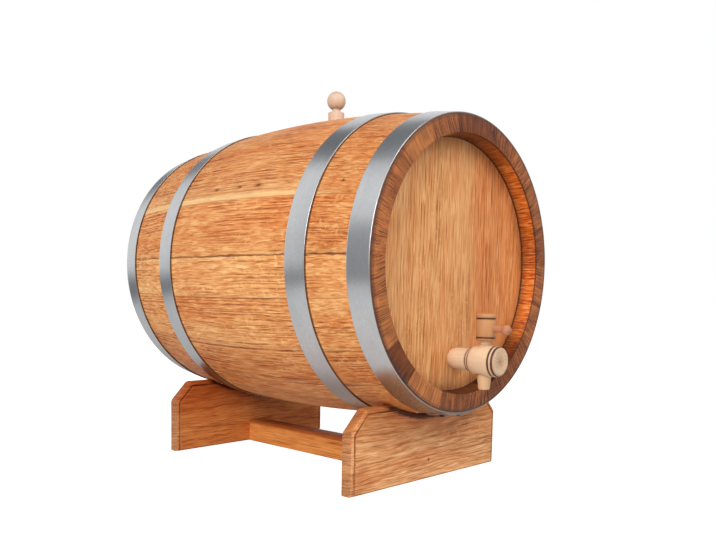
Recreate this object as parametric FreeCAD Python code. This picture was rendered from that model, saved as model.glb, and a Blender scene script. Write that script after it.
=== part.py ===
"""Oak cask liquor dispenser: a coopered cask on a two-cradle stand, with a turned bung and a turned tap.

Millimetres.  Z is up and the floor is at z = 0.  The cask lies along Y with the tap at its front head,
towards -Y.  The origin is on the floor under the middle of the cask, at the stretcher's underside.
Angles round the cask are counted from +X towards +Z, as seen from the front.
"""
import FreeCAD, Part
import math
import os
from FreeCAD import Placement, Rotation, Vector

os.makedirs("parts", exist_ok=True)

# ---------------------------------------------------------------- driving dimensions

# Cask shell
CASK_LENGTH = 408.8
RIM_RADIUS = 150.0
BILGE_RISE = 16.4
CHIME_THICKNESS = 18.0
CHIME_BEVEL = 2.5
BILGE_THICKNESS = 22.0
CHIME_DEPTH = 19.0
CROZE_DEPTH = 4.6
FIRST_JOINT_ANGLE = 2.0
STAVE_ANGLES = (18, 19, 19, 21, 22, 18, 18, 20, 21, 15, 20, 17, 22, 16, 18, 19, 19, 19, 19)
BUNG_STAVE = 5

# Heads
HEAD_THICKNESS = 16.0
HEAD_TONGUE = 8.0
HEAD_BACK_BEVEL = 6.0
HEAD_BOARD_SHARES = (58, 52, 56, 54, 48)
HEAD_DOWEL_RADIUS = 3.0
HEAD_DOWEL_LENGTH = 20.0
HEAD_DOWEL_HEIGHTS = (-52.0, 46.0)

# Hoops
HOOP_THICKNESS = 1.4
HOOP_WIDTH = 25.0
HEAD_HOOP_SETBACK = 1.6
FRONT_QUARTER_HOOP_SETBACK = 88.4
REAR_QUARTER_HOOP_SETBACK = 103.4
LAP_ANGLE = 18.0
LAP_CENTRE_ANGLE = 267.5
RIVET_SPACING_ANGLE = 10.6
RIVET_SHANK_RADIUS = 1.8
RIVET_HEAD_RADIUS = 3.6
RIVET_HEAD_HEIGHT = 2.4
RIVET_LIFT = 0.1

# Bung
BUNG_Y = -8.0
BUNG_TOP_RADIUS = 9.6
BUNG_TAPER = 0.025
BUNG_COLLAR_HEIGHT = 14.0
BUNG_REACH_INSIDE = 4.0
BUNG_NECK_RADIUS = 4.8
BUNG_NECK_LENGTH = 3.4
BUNG_BALL_RADIUS = 10.9
BUNG_EDGE_RADIUS = 1.2

# Tap body
TAP_DROP = 95.7
TAP_REACH = 59.8
TAP_BARREL_RADIUS = 15.8
TAP_BARREL_LENGTH = 33.2
TAP_FACE_RADIUS = 14.6
TAP_COLLAR_RADIUS = 12.2
TAP_BULB_RADIUS = 11.4
TAP_SHANK_RADIUS = 8.8
TAP_SHANK_TAPER = 0.03
TAP_SHANK_REACH = 12.0
TAP_BORE_RADIUS = 3.5

# Tap key, its cork sleeve and its lever
KEY_SETBACK = 19.2
KEY_STEM_RADIUS = 6.8
KEY_NECK_RADIUS = 5.5
KEY_HEAD_RADIUS = 10.0
KEY_HEAD_RISE = 20.9
KEY_HEAD_LENGTH = 27.5
KEY_NECK_FLARE = 1.4
SPOUT_REACH = 29.3
SPOUT_TIP_RADIUS = 5.7
SPOUT_TAPER_LENGTH = 9.0
SPOUT_BORE_RADIUS = 3.8
KEY_PORT_RADIUS = 2.4
CORK_RADIUS = 9.4
CORK_MARGIN = 2.2
LEVER_RISE = 33.6
LEVER_DROP_ANGLE = 4.0
LEVER_RADIUS = 3.1
LEVER_BALL_RADIUS = 5.2
LEVER_REACH = 24.0
LEVER_SEAT_DEPTH = 7.0

# Stand
CRADLE_HALF_WIDTH = 124.5
CRADLE_THICKNESS = 15.5
CRADLE_END_HEIGHT = 63.0
CRADLE_CORNER = 22.0
SADDLE_FLOOR = 70.2
FRONT_CRADLE_SETBACK = 51.8
REAR_CRADLE_SETBACK = 61.4
STRETCHER_WIDTH = 20.0
STRETCHER_HEIGHT = 28.5
STAND_DOWEL_RADIUS = 4.0
STAND_DOWEL_LENGTH = 34.0
STAND_DOWEL_IN_CRADLE = 11.0
STAND_DOWEL_HEIGHT = 14.0

# Clearances
HOOP_CLEARANCE = 0.08
HEAD_CLEARANCE = 0.25
DOWEL_CLEARANCE = 0.05
DOWEL_END_CLEARANCE = 0.5
BUNG_CLEARANCE = 0.06
TAP_CLEARANCE = 0.06
KEY_CLEARANCE = 0.05
CORK_CLEARANCE = 0.03
SADDLE_CLEARANCE = 0.3

# ---------------------------------------------------------------- derived sizes

Y_AXIS = Vector(0, 1, 0)
Z_AXIS = Vector(0, 0, 1)
SPIN_AXIS = Vector(0, -1, 0)

HALF_LENGTH = CASK_LENGTH / 2
HEAD_FACE_Y = HALF_LENGTH - CHIME_DEPTH
HEAD_BACK_Y = HEAD_FACE_Y - HEAD_THICKNESS
HEAD_HOOP_Y = HALF_LENGTH - HEAD_HOOP_SETBACK - HOOP_WIDTH / 2
FRONT_CRADLE_Y = FRONT_CRADLE_SETBACK - HALF_LENGTH
REAR_CRADLE_Y = HALF_LENGTH - REAR_CRADLE_SETBACK

BILGE_RADIUS = RIM_RADIUS + BILGE_RISE
CHIME_RADIUS = RIM_RADIUS - CHIME_THICKNESS
CROZE_RADIUS = CHIME_RADIUS - CHIME_BEVEL
HEAD_RADIUS = CROZE_RADIUS + CROZE_DEPTH - HEAD_CLEARANCE


def curve_radius(middle_radius, end_radius, end_y):
    """Radius of the arc that a lengthways profile follows from middle_radius at 0 to end_radius at end_y."""
    rise = middle_radius - end_radius
    return (end_y ** 2 + rise ** 2) / (2 * rise)


def arc_radius_at(y, middle_radius, end_radius, end_y):
    """Distance from the cask's axis, at y, of a profile that follows such an arc."""
    curve = curve_radius(middle_radius, end_radius, end_y)
    return middle_radius - curve + math.sqrt(curve ** 2 - y ** 2)


def outer_radius(y):
    """Outer radius of the staves at y."""
    return arc_radius_at(y, BILGE_RADIUS, RIM_RADIUS, HALF_LENGTH)


def inner_radius(y):
    """Inner radius of the staves at y, between the two heads."""
    return arc_radius_at(y, BILGE_RADIUS - BILGE_THICKNESS, CROZE_RADIUS, HEAD_FACE_Y)


CASK_AXIS_Z = SADDLE_FLOOR + SADDLE_CLEARANCE + outer_radius(FRONT_CRADLE_Y + CRADLE_THICKNESS / 2)
TAP_AXIS_Z = CASK_AXIS_Z - TAP_DROP
TAP_FRONT_Y = -HEAD_FACE_Y - TAP_REACH
KEY_Y = TAP_FRONT_Y + KEY_SETBACK
KEY_HEAD_LOW = TAP_AXIS_Z + KEY_HEAD_RISE
KEY_HEAD_HIGH = KEY_HEAD_LOW + KEY_HEAD_LENGTH
SPOUT_LOW = TAP_AXIS_Z - SPOUT_REACH
LEVER_Z = TAP_AXIS_Z + LEVER_RISE
BUNG_TOP_Z = CASK_AXIS_Z + outer_radius(BUNG_Y) + BUNG_COLLAR_HEIGHT


# ---------------------------------------------------------------- helpers

def face_of(*edges):
    """One face from edges that close a loop."""
    return Part.Face(Part.Wire(Part.__sortEdges__(list(edges))))


def line(a, b):
    """A straight edge."""
    return Part.LineSegment(a, b).toShape()


def polygon_face(points):
    """One face from the corners of a closed outline."""
    return Part.Face(Part.makePolygon(list(points) + [points[0]]))


def on_cask(shape):
    """Move a shape made round the Y axis up to the cask's axis."""
    shape.translate(Vector(0, 0, CASK_AXIS_Z))
    return shape


def spun(face, start_angle, sweep):
    """Revolve a face drawn in the XY plane round the Y axis, from start_angle over sweep degrees."""
    face.rotate(Vector(0, 0, 0), SPIN_AXIS, start_angle)
    return face.revolve(Vector(0, 0, 0), SPIN_AXIS, sweep)


def turned(points, origin, axis):
    """A turned piece: points are (radius, height) pairs, revolved and stood on origin along axis."""
    outline = [Vector(radius, 0, height) for radius, height in points]
    solid = polygon_face(outline).revolve(Vector(0, 0, 0), Z_AXIS, 360)
    solid.Placement = Placement(origin, Rotation(Z_AXIS, axis))
    return solid


def rod(radius, length, origin, axis):
    """A cylinder that starts at origin and runs along axis."""
    return Part.makeCylinder(radius, length, origin, axis)


def box(low, high):
    """A box between two opposite corners."""
    size = high.sub(low)
    return Part.makeBox(size.x, size.y, size.z, low)


def save(name, shape):
    """Write one sub-part, after checking that it is whole."""
    if not shape.isValid() or shape.Volume <= 0:
        raise ValueError("bad solid in " + name)
    shape.exportStep("parts/" + name + ".step")


# ---------------------------------------------------------------- cask

def stave_section():
    """Lengthways section of a stave: outer arc, end faces, chime walls, croze grooves and inner arc."""
    inner_y = HEAD_FACE_Y - HEAD_TONGUE
    groove_radius = CROZE_RADIUS + CROZE_DEPTH
    inner_edge = inner_radius(inner_y)
    edges = [Part.Arc(Vector(RIM_RADIUS, -HALF_LENGTH, 0), Vector(BILGE_RADIUS, 0, 0),
                      Vector(RIM_RADIUS, HALF_LENGTH, 0)).toShape(),
             Part.Arc(Vector(inner_edge, -inner_y, 0), Vector(BILGE_RADIUS - BILGE_THICKNESS, 0, 0),
                      Vector(inner_edge, inner_y, 0)).toShape()]
    for side in (-1, 1):
        corners = [Vector(RIM_RADIUS, side * HALF_LENGTH, 0), Vector(CHIME_RADIUS, side * HALF_LENGTH, 0),
                   Vector(CROZE_RADIUS, side * HEAD_FACE_Y, 0), Vector(groove_radius, side * HEAD_FACE_Y, 0),
                   Vector(groove_radius, side * inner_y, 0), Vector(inner_edge, side * inner_y, 0)]
        edges += [line(a, b) for a, b in zip(corners, corners[1:])]
    return face_of(*edges)


def bung_profile(clearance, low, high):
    """(radius, height) outline of the bung's taper between two heights, grown by a clearance."""
    def radius(z):
        return BUNG_TOP_RADIUS - BUNG_TAPER * (BUNG_TOP_Z - z) + clearance

    return [(0, low), (radius(low), low), (radius(high), high), (0, high)]


def make_staves():
    """The staves, face to face at their joints; the one on top has the bung hole."""
    angle = FIRST_JOINT_ANGLE
    for number, width in enumerate(STAVE_ANGLES, 1):
        stave = on_cask(spun(stave_section(), angle, width))
        if number == BUNG_STAVE:
            hole = bung_profile(BUNG_CLEARANCE, CASK_AXIS_Z, BUNG_TOP_Z)
            stave = stave.cut(turned(hole, Vector(0, BUNG_Y, 0), Z_AXIS))
        save("stave_%02d" % number, stave)
        angle += width


def head_seams():
    """Places, along X, of the joints between the head boards."""
    width = 2 * HEAD_RADIUS / sum(HEAD_BOARD_SHARES)
    return [sum(HEAD_BOARD_SHARES[:count]) * width - HEAD_RADIUS for count in range(1, len(HEAD_BOARD_SHARES))]


def head_disc():
    """A whole front head: flat front face, tongue for the croze and bevelled back."""
    shoulder = inner_radius(HEAD_FACE_Y - HEAD_TONGUE) - HEAD_CLEARANCE
    tongue_back = HEAD_FACE_Y - HEAD_TONGUE
    section = polygon_face([Vector(0, -HEAD_FACE_Y, 0), Vector(HEAD_RADIUS, -HEAD_FACE_Y, 0),
                            Vector(HEAD_RADIUS, -tongue_back, 0), Vector(shoulder, -tongue_back, 0),
                            Vector(shoulder - HEAD_BACK_BEVEL, -HEAD_BACK_Y, 0),
                            Vector(0, -HEAD_BACK_Y, 0)])
    return on_cask(spun(section, 0, 360))


def head_dowels(clearance, end_clearance):
    """The dowels across each seam of the front head."""
    middle = -(HEAD_FACE_Y + HEAD_BACK_Y) / 2
    length = HEAD_DOWEL_LENGTH + 2 * end_clearance
    return [rod(HEAD_DOWEL_RADIUS + clearance, length,
                Vector(seam - length / 2, middle, CASK_AXIS_Z + height), Vector(1, 0, 0))
            for seam in head_seams() for height in HEAD_DOWEL_HEIGHTS]


def tap_shank_points(clearance, low, high):
    """(radius, height) outline of the tap's tapered shank; heights run inwards from the head's face."""
    def radius(depth):
        return TAP_SHANK_RADIUS - TAP_SHANK_TAPER * depth + clearance

    return [(0, low), (radius(low), low), (radius(high), high), (0, high)]


def make_heads():
    """Both heads: boards side by side, joined by dowels; the front one has the tap hole."""
    limits = [-RIM_RADIUS] + head_seams() + [RIM_RADIUS]
    dowel_holes = Part.makeCompound(head_dowels(DOWEL_CLEARANCE, DOWEL_END_CLEARANCE))
    dowels = Part.makeCompound(head_dowels(0, 0))
    tap_hole = turned(tap_shank_points(TAP_CLEARANCE, -1, HEAD_THICKNESS + 1),
                      Vector(0, -HEAD_FACE_Y, TAP_AXIS_Z), Y_AXIS)
    disc = head_disc().cut(dowel_holes)
    for end, side in (("front", -1), ("rear", 1)):
        for number, (left, right) in enumerate(zip(limits, limits[1:]), 1):
            board = disc.common(box(Vector(left, -HALF_LENGTH, 0),
                                    Vector(right, 0, 2 * CASK_AXIS_Z)))
            if side < 0 and left < 0 < right:
                board = board.cut(tap_hole)
            save("%s_head_board_%d" % (end, number), placed_at_end(board, side))
        save("%s_head_dowels" % end, placed_at_end(dowels, side))


def placed_at_end(shape, side):
    """Keep a front-end shape (side -1) or turn it half round the Z axis to the rear (side 1)."""
    copy = shape.copy()
    if side > 0:
        copy.rotate(Vector(0, 0, 0), Z_AXIS, 180)
    return copy


# ---------------------------------------------------------------- hoops

def hoop_section(middle_y, inner_offset, outer_offset):
    """Section of a hoop's strip, lying on the curve of the staves between two offsets."""
    low, high = middle_y - HOOP_WIDTH / 2, middle_y + HOOP_WIDTH / 2

    def strip_edge(offset):
        low_point, mid_point, high_point = [Vector(outer_radius(y) + offset, y, 0) for y in (low, middle_y, high)]
        return low_point, high_point, Part.Arc(low_point, mid_point, high_point).toShape()

    inner_low, inner_high, inner_edge = strip_edge(inner_offset)
    outer_low, outer_high, outer_edge = strip_edge(outer_offset)
    return face_of(inner_edge, line(inner_high, outer_high), outer_edge, line(outer_low, inner_low))


def rivet(middle_y, angle, shank_radius, with_head):
    """One rivet of a lap, standing square to the strip at angle."""
    base = 2 * HOOP_THICKNESS
    points = [(0, 0), (shank_radius, 0), (shank_radius, base)]
    top = base
    if with_head:
        top = base + RIVET_HEAD_HEIGHT
        points += [(RIVET_HEAD_RADIUS, base), (RIVET_HEAD_RADIUS * 0.8, base + RIVET_HEAD_HEIGHT * 0.65),
                   (RIVET_HEAD_RADIUS * 0.4, top)]
    points.append((0, top))
    radial = Vector(math.cos(math.radians(angle)), 0, math.sin(math.radians(angle)))
    tilt = math.asin(middle_y / curve_radius(BILGE_RADIUS, RIM_RADIUS, HALF_LENGTH))
    square = radial * math.cos(tilt) + Y_AXIS * math.sin(tilt)
    foot = radial * outer_radius(middle_y) + Y_AXIS * middle_y + square * (HOOP_CLEARANCE + RIVET_LIFT)
    return on_cask(turned(points, foot, square))


def make_hoop(name, middle_y):
    """One hoop: a strip bent round the cask whose end laps over its start, held by two rivets."""
    top = HOOP_CLEARANCE + HOOP_THICKNESS
    ring = spun(hoop_section(middle_y, HOOP_CLEARANCE, top), 0, 360)
    lap = spun(hoop_section(middle_y, top, top + HOOP_THICKNESS), LAP_CENTRE_ANGLE - LAP_ANGLE / 2, LAP_ANGLE)
    hoop = on_cask(ring.fuse(lap))
    angles = [LAP_CENTRE_ANGLE + side * RIVET_SPACING_ANGLE / 2 for side in (-1, 1)]
    for angle in angles:
        hoop = hoop.cut(rivet(middle_y, angle, RIVET_SHANK_RADIUS + DOWEL_CLEARANCE, False))
    save(name + "_hoop", hoop)
    save(name + "_hoop_rivets",
         Part.makeCompound([rivet(middle_y, angle, RIVET_SHANK_RADIUS, True) for angle in angles]))


def make_hoops():
    """Two head hoops and two quarter hoops."""
    make_hoop("front_head", -HEAD_HOOP_Y)
    make_hoop("front_quarter", FRONT_QUARTER_HOOP_SETBACK - HALF_LENGTH)
    make_hoop("rear_quarter", HALF_LENGTH - REAR_QUARTER_HOOP_SETBACK)
    make_hoop("rear_head", HEAD_HOOP_Y)


# ---------------------------------------------------------------- bung

def make_bung():
    """Turned bung: tapered plug, short neck and ball knob."""
    low = CASK_AXIS_Z + inner_radius(BUNG_Y) - BUNG_REACH_INSIDE
    plug = turned(bung_profile(0, low, BUNG_TOP_Z), Vector(0, BUNG_Y, 0), Z_AXIS)
    rim = [edge for edge in plug.Edges if edge.BoundBox.ZMin > BUNG_TOP_Z - 0.1 and edge.BoundBox.XLength > 1]
    plug = plug.makeFillet(BUNG_EDGE_RADIUS, rim)
    ball_z = BUNG_TOP_Z + BUNG_NECK_LENGTH + math.sqrt(BUNG_BALL_RADIUS ** 2 - BUNG_NECK_RADIUS ** 2)
    neck = rod(BUNG_NECK_RADIUS, ball_z - BUNG_TOP_Z, Vector(0, BUNG_Y, BUNG_TOP_Z), Z_AXIS)
    ball = Part.makeSphere(BUNG_BALL_RADIUS, Vector(0, BUNG_Y, ball_z))
    save("bung", plug.fuse(neck).fuse(ball).removeSplitter())


# ---------------------------------------------------------------- tap

def make_tap_body():
    """Turned tap body: barrel, collar, bulb and tapered shank, bored along and across."""
    barrel_back = TAP_BARREL_LENGTH
    head_depth = -HEAD_FACE_Y - TAP_FRONT_Y
    shank_end = head_depth + HEAD_THICKNESS + TAP_SHANK_REACH
    end_radius = TAP_SHANK_RADIUS - TAP_SHANK_TAPER * (shank_end - head_depth)
    outline = [(0, 0), (TAP_FACE_RADIUS - 1.6, 0.3), (TAP_FACE_RADIUS, 1.6), (TAP_BARREL_RADIUS - 0.3, 4.4),
               (TAP_BARREL_RADIUS, 9.0), (TAP_BARREL_RADIUS, 20.0),
               (TAP_BARREL_RADIUS - 0.7, 26.5), (TAP_COLLAR_RADIUS + 1.4, barrel_back - 2.0),
               (TAP_COLLAR_RADIUS, barrel_back), (TAP_COLLAR_RADIUS, barrel_back + 2.6),
               (TAP_BULB_RADIUS - 0.3, barrel_back + 3.4), (TAP_BULB_RADIUS, barrel_back + 8.0),
               (TAP_BULB_RADIUS, barrel_back + 16.5), (TAP_BULB_RADIUS - 1.0, head_depth - 3.4),
               (TAP_SHANK_RADIUS + 1.0, head_depth - 1.2), (TAP_SHANK_RADIUS, head_depth),
               (end_radius, shank_end), (0, shank_end)]
    front = Vector(0, TAP_FRONT_Y, TAP_AXIS_Z)
    body = turned(outline, front, Y_AXIS)
    key_hole = rod(CORK_RADIUS + CORK_CLEARANCE, 4 * TAP_BARREL_RADIUS,
                   Vector(0, KEY_Y, TAP_AXIS_Z - 2 * TAP_BARREL_RADIUS), Z_AXIS)
    bore = rod(TAP_BORE_RADIUS, TAP_FRONT_Y + shank_end - KEY_Y + 1, Vector(0, KEY_Y, TAP_AXIS_Z), Y_AXIS)
    save("tap_body", body.cut(key_hole).cut(bore))


def make_cork_sleeve():
    """Cork sleeve in the tap's cross bore, with its way in on the cask's side."""
    half = math.sqrt(TAP_BARREL_RADIUS ** 2 - CORK_RADIUS ** 2) - CORK_MARGIN / 2
    base = Vector(0, KEY_Y, TAP_AXIS_Z - half)
    sleeve = rod(CORK_RADIUS, 2 * half, base, Z_AXIS)
    sleeve = sleeve.cut(rod(KEY_STEM_RADIUS + KEY_CLEARANCE, 2 * half, base, Z_AXIS))
    save("tap_cork_sleeve", sleeve.cut(rod(TAP_BORE_RADIUS, 2 * CORK_RADIUS, Vector(0, KEY_Y, TAP_AXIS_Z), Y_AXIS)))


def lever_axis():
    """Direction of the lever: forwards and slightly down."""
    drop = math.radians(LEVER_DROP_ANGLE)
    return Vector(0, -math.cos(drop), -math.sin(drop))


def make_key():
    """Turned key: gripped head, neck, stem and hollow spout with its side port."""
    neck_z = TAP_AXIS_Z + TAP_BARREL_RADIUS + 0.4
    head_low, head_high = KEY_HEAD_LOW, KEY_HEAD_HIGH
    outline = [(0, SPOUT_LOW), (SPOUT_TIP_RADIUS - 0.5, SPOUT_LOW), (SPOUT_TIP_RADIUS, SPOUT_LOW + 0.6),
               (KEY_STEM_RADIUS, SPOUT_LOW + SPOUT_TAPER_LENGTH), (KEY_STEM_RADIUS, neck_z),
               (KEY_NECK_RADIUS, neck_z + 0.6), (KEY_NECK_RADIUS, head_low - KEY_NECK_FLARE),
               (KEY_NECK_RADIUS + KEY_NECK_FLARE, head_low), (KEY_HEAD_RADIUS - 0.8, head_low),
               (KEY_HEAD_RADIUS, head_low + 1.0), (KEY_HEAD_RADIUS, head_high - 1.6),
               (KEY_HEAD_RADIUS - 1.2, head_high - 0.4), (KEY_HEAD_RADIUS * 0.5, head_high),
               (0, head_high)]
    key = turned(outline, Vector(0, KEY_Y, 0), Z_AXIS)
    port_top = TAP_AXIS_Z + KEY_PORT_RADIUS
    key = key.cut(rod(SPOUT_BORE_RADIUS, port_top - SPOUT_LOW, Vector(0, KEY_Y, SPOUT_LOW), Z_AXIS))
    key = key.cut(rod(KEY_PORT_RADIUS, 2 * KEY_STEM_RADIUS, Vector(0, KEY_Y, TAP_AXIS_Z), Vector(1, 0, 0)))
    seat = lever_seat()
    hole = rod(LEVER_RADIUS + DOWEL_CLEARANCE, 2 * KEY_HEAD_RADIUS, seat, lever_axis())
    save("tap_key", key.cut(hole))


def lever_seat():
    """Inner end of the lever, on the bottom of its hole in the key's head."""
    return Vector(0, KEY_Y, LEVER_Z) + lever_axis() * (KEY_HEAD_RADIUS - LEVER_SEAT_DEPTH)


def make_lever():
    """Lever: a peg with a ball end, glued into the key's head."""
    axis = lever_axis()
    ball_centre = Vector(0, KEY_Y, LEVER_Z) + axis * LEVER_REACH
    seat = lever_seat()
    peg = rod(LEVER_RADIUS, ball_centre.sub(seat).Length, seat, axis)
    save("tap_lever", peg.fuse(Part.makeSphere(LEVER_BALL_RADIUS, ball_centre)))


# ---------------------------------------------------------------- stand

def stand_dowels(clearance, end_clearance):
    """Dowels that join the stretcher to the front and rear cradles."""
    dowels = []
    for face_y, inwards in ((FRONT_CRADLE_Y + CRADLE_THICKNESS / 2, 1), (REAR_CRADLE_Y - CRADLE_THICKNESS / 2, -1)):
        start = face_y - inwards * (STAND_DOWEL_IN_CRADLE + end_clearance)
        dowels.append(rod(STAND_DOWEL_RADIUS + clearance, STAND_DOWEL_LENGTH + 2 * end_clearance,
                          Vector(0, start, STAND_DOWEL_HEIGHT), Y_AXIS * inwards))
    return dowels


def make_cradle(name, middle_y, dowel_hole):
    """One cradle board: clipped top corners and a saddle cut to the cask's taper."""
    low, high = middle_y - CRADLE_THICKNESS / 2, middle_y + CRADLE_THICKNESS / 2
    top = CRADLE_END_HEIGHT + CRADLE_CORNER
    outline = [(-CRADLE_HALF_WIDTH, 0), (CRADLE_HALF_WIDTH, 0), (CRADLE_HALF_WIDTH, CRADLE_END_HEIGHT),
               (CRADLE_HALF_WIDTH - CRADLE_CORNER, top), (CRADLE_CORNER - CRADLE_HALF_WIDTH, top),
               (-CRADLE_HALF_WIDTH, CRADLE_END_HEIGHT)]
    board = polygon_face([Vector(x, low, z) for x, z in outline]).extrude(Vector(0, CRADLE_THICKNESS, 0))
    saddle = Part.makeCone(outer_radius(low) + SADDLE_CLEARANCE, outer_radius(high) + SADDLE_CLEARANCE,
                           CRADLE_THICKNESS, Vector(0, low, CASK_AXIS_Z), Y_AXIS)
    save(name, board.cut(saddle).cut(dowel_hole))


def make_stand():
    """Two cradles, the stretcher between them and the dowels that hold it."""
    front_hole, rear_hole = stand_dowels(DOWEL_CLEARANCE, DOWEL_END_CLEARANCE)
    make_cradle("front_cradle", FRONT_CRADLE_Y, front_hole)
    make_cradle("rear_cradle", REAR_CRADLE_Y, rear_hole)
    half = STRETCHER_WIDTH / 2
    stretcher = box(Vector(-half, FRONT_CRADLE_Y + CRADLE_THICKNESS / 2, 0),
                    Vector(half, REAR_CRADLE_Y - CRADLE_THICKNESS / 2, STRETCHER_HEIGHT))
    save("stretcher", stretcher.cut(front_hole).cut(rear_hole))
    for name, dowel in zip(("front_stand_dowel", "rear_stand_dowel"), stand_dowels(0, 0)):
        save(name, dowel)


make_staves()
make_heads()
make_hoops()
make_bung()
make_tap_body()
make_cork_sleeve()
make_key()
make_lever()
make_stand()
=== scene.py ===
"""Oak cask liquor dispenser: the looks of a coopered cask with a turned bung and tap, on its stand.

Metres.  Z is up and the floor is at z = 0.  The cask lies along Y with the tap at its front head, towards -Y.
Angles round the cask are in degrees, from +X towards +Z, as seen from the front.
"""

import logging
import math
import random
from dataclasses import dataclass, field
from enum import Enum
from typing import Any, Callable, Iterable, Sequence

import bmesh
import bpy
from mathutils import Matrix, Vector


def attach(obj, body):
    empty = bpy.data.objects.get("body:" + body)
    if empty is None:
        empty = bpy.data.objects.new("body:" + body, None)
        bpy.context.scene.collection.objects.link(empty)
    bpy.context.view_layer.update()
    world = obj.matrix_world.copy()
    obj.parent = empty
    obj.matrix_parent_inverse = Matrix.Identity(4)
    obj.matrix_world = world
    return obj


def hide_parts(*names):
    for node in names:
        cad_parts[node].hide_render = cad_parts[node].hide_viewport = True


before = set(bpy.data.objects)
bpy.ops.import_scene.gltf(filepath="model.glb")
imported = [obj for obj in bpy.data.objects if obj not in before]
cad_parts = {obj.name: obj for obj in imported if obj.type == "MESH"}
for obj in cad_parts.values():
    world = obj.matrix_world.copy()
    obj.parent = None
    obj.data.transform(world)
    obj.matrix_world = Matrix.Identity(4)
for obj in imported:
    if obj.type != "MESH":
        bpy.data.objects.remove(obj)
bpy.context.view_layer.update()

MM = 0.001
TOUCH = 0.001 * MM  # Within this a vertex lies on a plane or an axis.
WELD = 0.002 * MM  # Within this two vertices are one.
X_AXIS, Y_AXIS, Z_AXIS = (Vector(axis) for axis in ((1.0, 0.0, 0.0), (0.0, 1.0, 0.0), (0.0, 0.0, 1.0)))
Mesh = bmesh.types.BMesh
Point = tuple[float, float]
Triple = tuple[float, float, float]
Colour = Triple
BLACK: Colour = (0.0, 0.0, 0.0)

log = logging.getLogger("cask")


# ---------------------------------------------------------------- mesh helpers

def tint(*levels: int) -> Colour:
    """A screen colour, red, green and blue from 0 to 255, as the linear one that a shader takes."""
    return tuple(share / 12.92 if share <= 0.04045 else ((share + 0.055) / 1.055) ** 2.4
                 for share in (level / 255 for level in levels))


def spread(start: float, end: float, steps: int) -> list[float]:
    """Evenly spaced values from start to end, both included."""
    return [start + (end - start) * step / steps for step in range(steps + 1)]


def arc(centre: Point, reach: Point, angles: Iterable[float]) -> list[Point]:
    """Points of an arc about a centre, with its reach along each axis, at angles in degrees."""
    return [(centre[0] + reach[0] * math.cos(turn), centre[1] + reach[1] * math.sin(turn))
            for turn in map(math.radians, angles)]


def beside(radius: float, place: float, *steps: Point) -> list[Point]:
    """(radius, place) corners that lie so many millimetres from one corner."""
    return [(radius + out * MM, place + on * MM) for out, on in steps]


def revolved(section: Sequence[Point], place: Callable[[float, float], Sequence[float]], centre: Sequence[float],
             axis: Vector, steps: int, sweep: float = 360.0) -> Mesh:
    """Spin a closed section about an axis.

    Args:
        section: (radius, height) corners.
        place: Gives the point of a radius and a height at the first angle.
        centre: A point on the axis.
        axis: The axis.
        steps: Faces round it.
        sweep: Angle that it covers; 360 closes it.

    Returns:
        The closed mesh, with its faces outwards.
    """
    mesh = bmesh.new()
    verts = [mesh.verts.new(place(*corner)) for corner in section]
    on_axis = [radius < TOUCH for radius, _ in section]
    whole = sweep >= 360
    if whole:
        for index, vert in enumerate(verts):
            if not (on_axis[index - 1] and on_axis[index]):
                mesh.edges.new((verts[index - 1], vert))
    else:
        mesh.faces.new(verts)
    bmesh.ops.spin(mesh, geom=[*mesh.faces, *mesh.edges, *mesh.verts], cent=centre, axis=axis,
                   angle=math.radians(sweep), steps=steps, use_merge=whole)
    bmesh.ops.remove_doubles(mesh, verts=mesh.verts, dist=WELD)
    for items, kind in ((mesh.edges, "EDGES"), (mesh.verts, "VERTS")):
        bmesh.ops.delete(mesh, geom=[item for item in items if not item.link_faces], context=kind)
    bmesh.ops.recalc_face_normals(mesh, faces=mesh.faces)
    return mesh


def turned(points: Sequence[Point], origin: Sequence[float], axis: Vector, steps: int = 64) -> Mesh:
    """A turned shape.

    Args:
        points: (radius, height) corners of half the lengthways section.
        origin: Where height 0 lies.
        axis: Direction of the heights.
        steps: Faces round it.

    Returns:
        The closed mesh, in place.
    """
    mesh = revolved(points, lambda radius, height: (radius, 0.0, height), Vector(), Z_AXIS, steps)
    mesh.transform(Matrix.Translation(origin) @ Z_AXIS.rotation_difference(axis).to_matrix().to_4x4())
    return mesh


def rod(radius: float, length: float, origin: Sequence[float], axis: Vector) -> Mesh:
    """A plain rod from its first end's centre along an axis, used to bore holes."""
    return turned([(0.0, 0.0), (radius, 0.0), (radius, length), (0.0, length)], origin, axis)


def ease(mesh: Mesh, edges: Iterable[bmesh.types.BMEdge], width: float, segments: int = 2) -> None:
    """Round some edges of a mesh over a width on each side."""
    bmesh.ops.bevel(mesh, geom=list(edges), offset=width, offset_type="OFFSET", affect="EDGES",
                    segments=segments, profile=0.5, material=-1, clamp_overlap=True)


def edges_where(mesh: Mesh, *tests: Callable[[Vector], bool]) -> list[bmesh.types.BMEdge]:
    """The edges whose vertices all pass one of the tests."""
    return [edge for edge in mesh.edges if any(all(test(vert.co) for vert in edge.verts) for test in tests)]


def as_data(name: str, mesh: Mesh) -> bpy.types.Mesh:
    """Mesh data made of a mesh.

    Args:
        name: Its name.
        mesh: The mesh; it is used up.

    Returns:
        The data.
    """
    data = bpy.data.meshes.new(name)
    mesh.to_mesh(data)
    mesh.free()
    return data


def linked(name: str, data: Any) -> bpy.types.Object:
    """A new object in the scene.

    Args:
        name: Its name.
        data: Its mesh, light or camera data.

    Returns:
        The object.
    """
    made = bpy.data.objects.new(name, data)
    bpy.context.scene.collection.objects.link(made)
    return made


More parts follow.
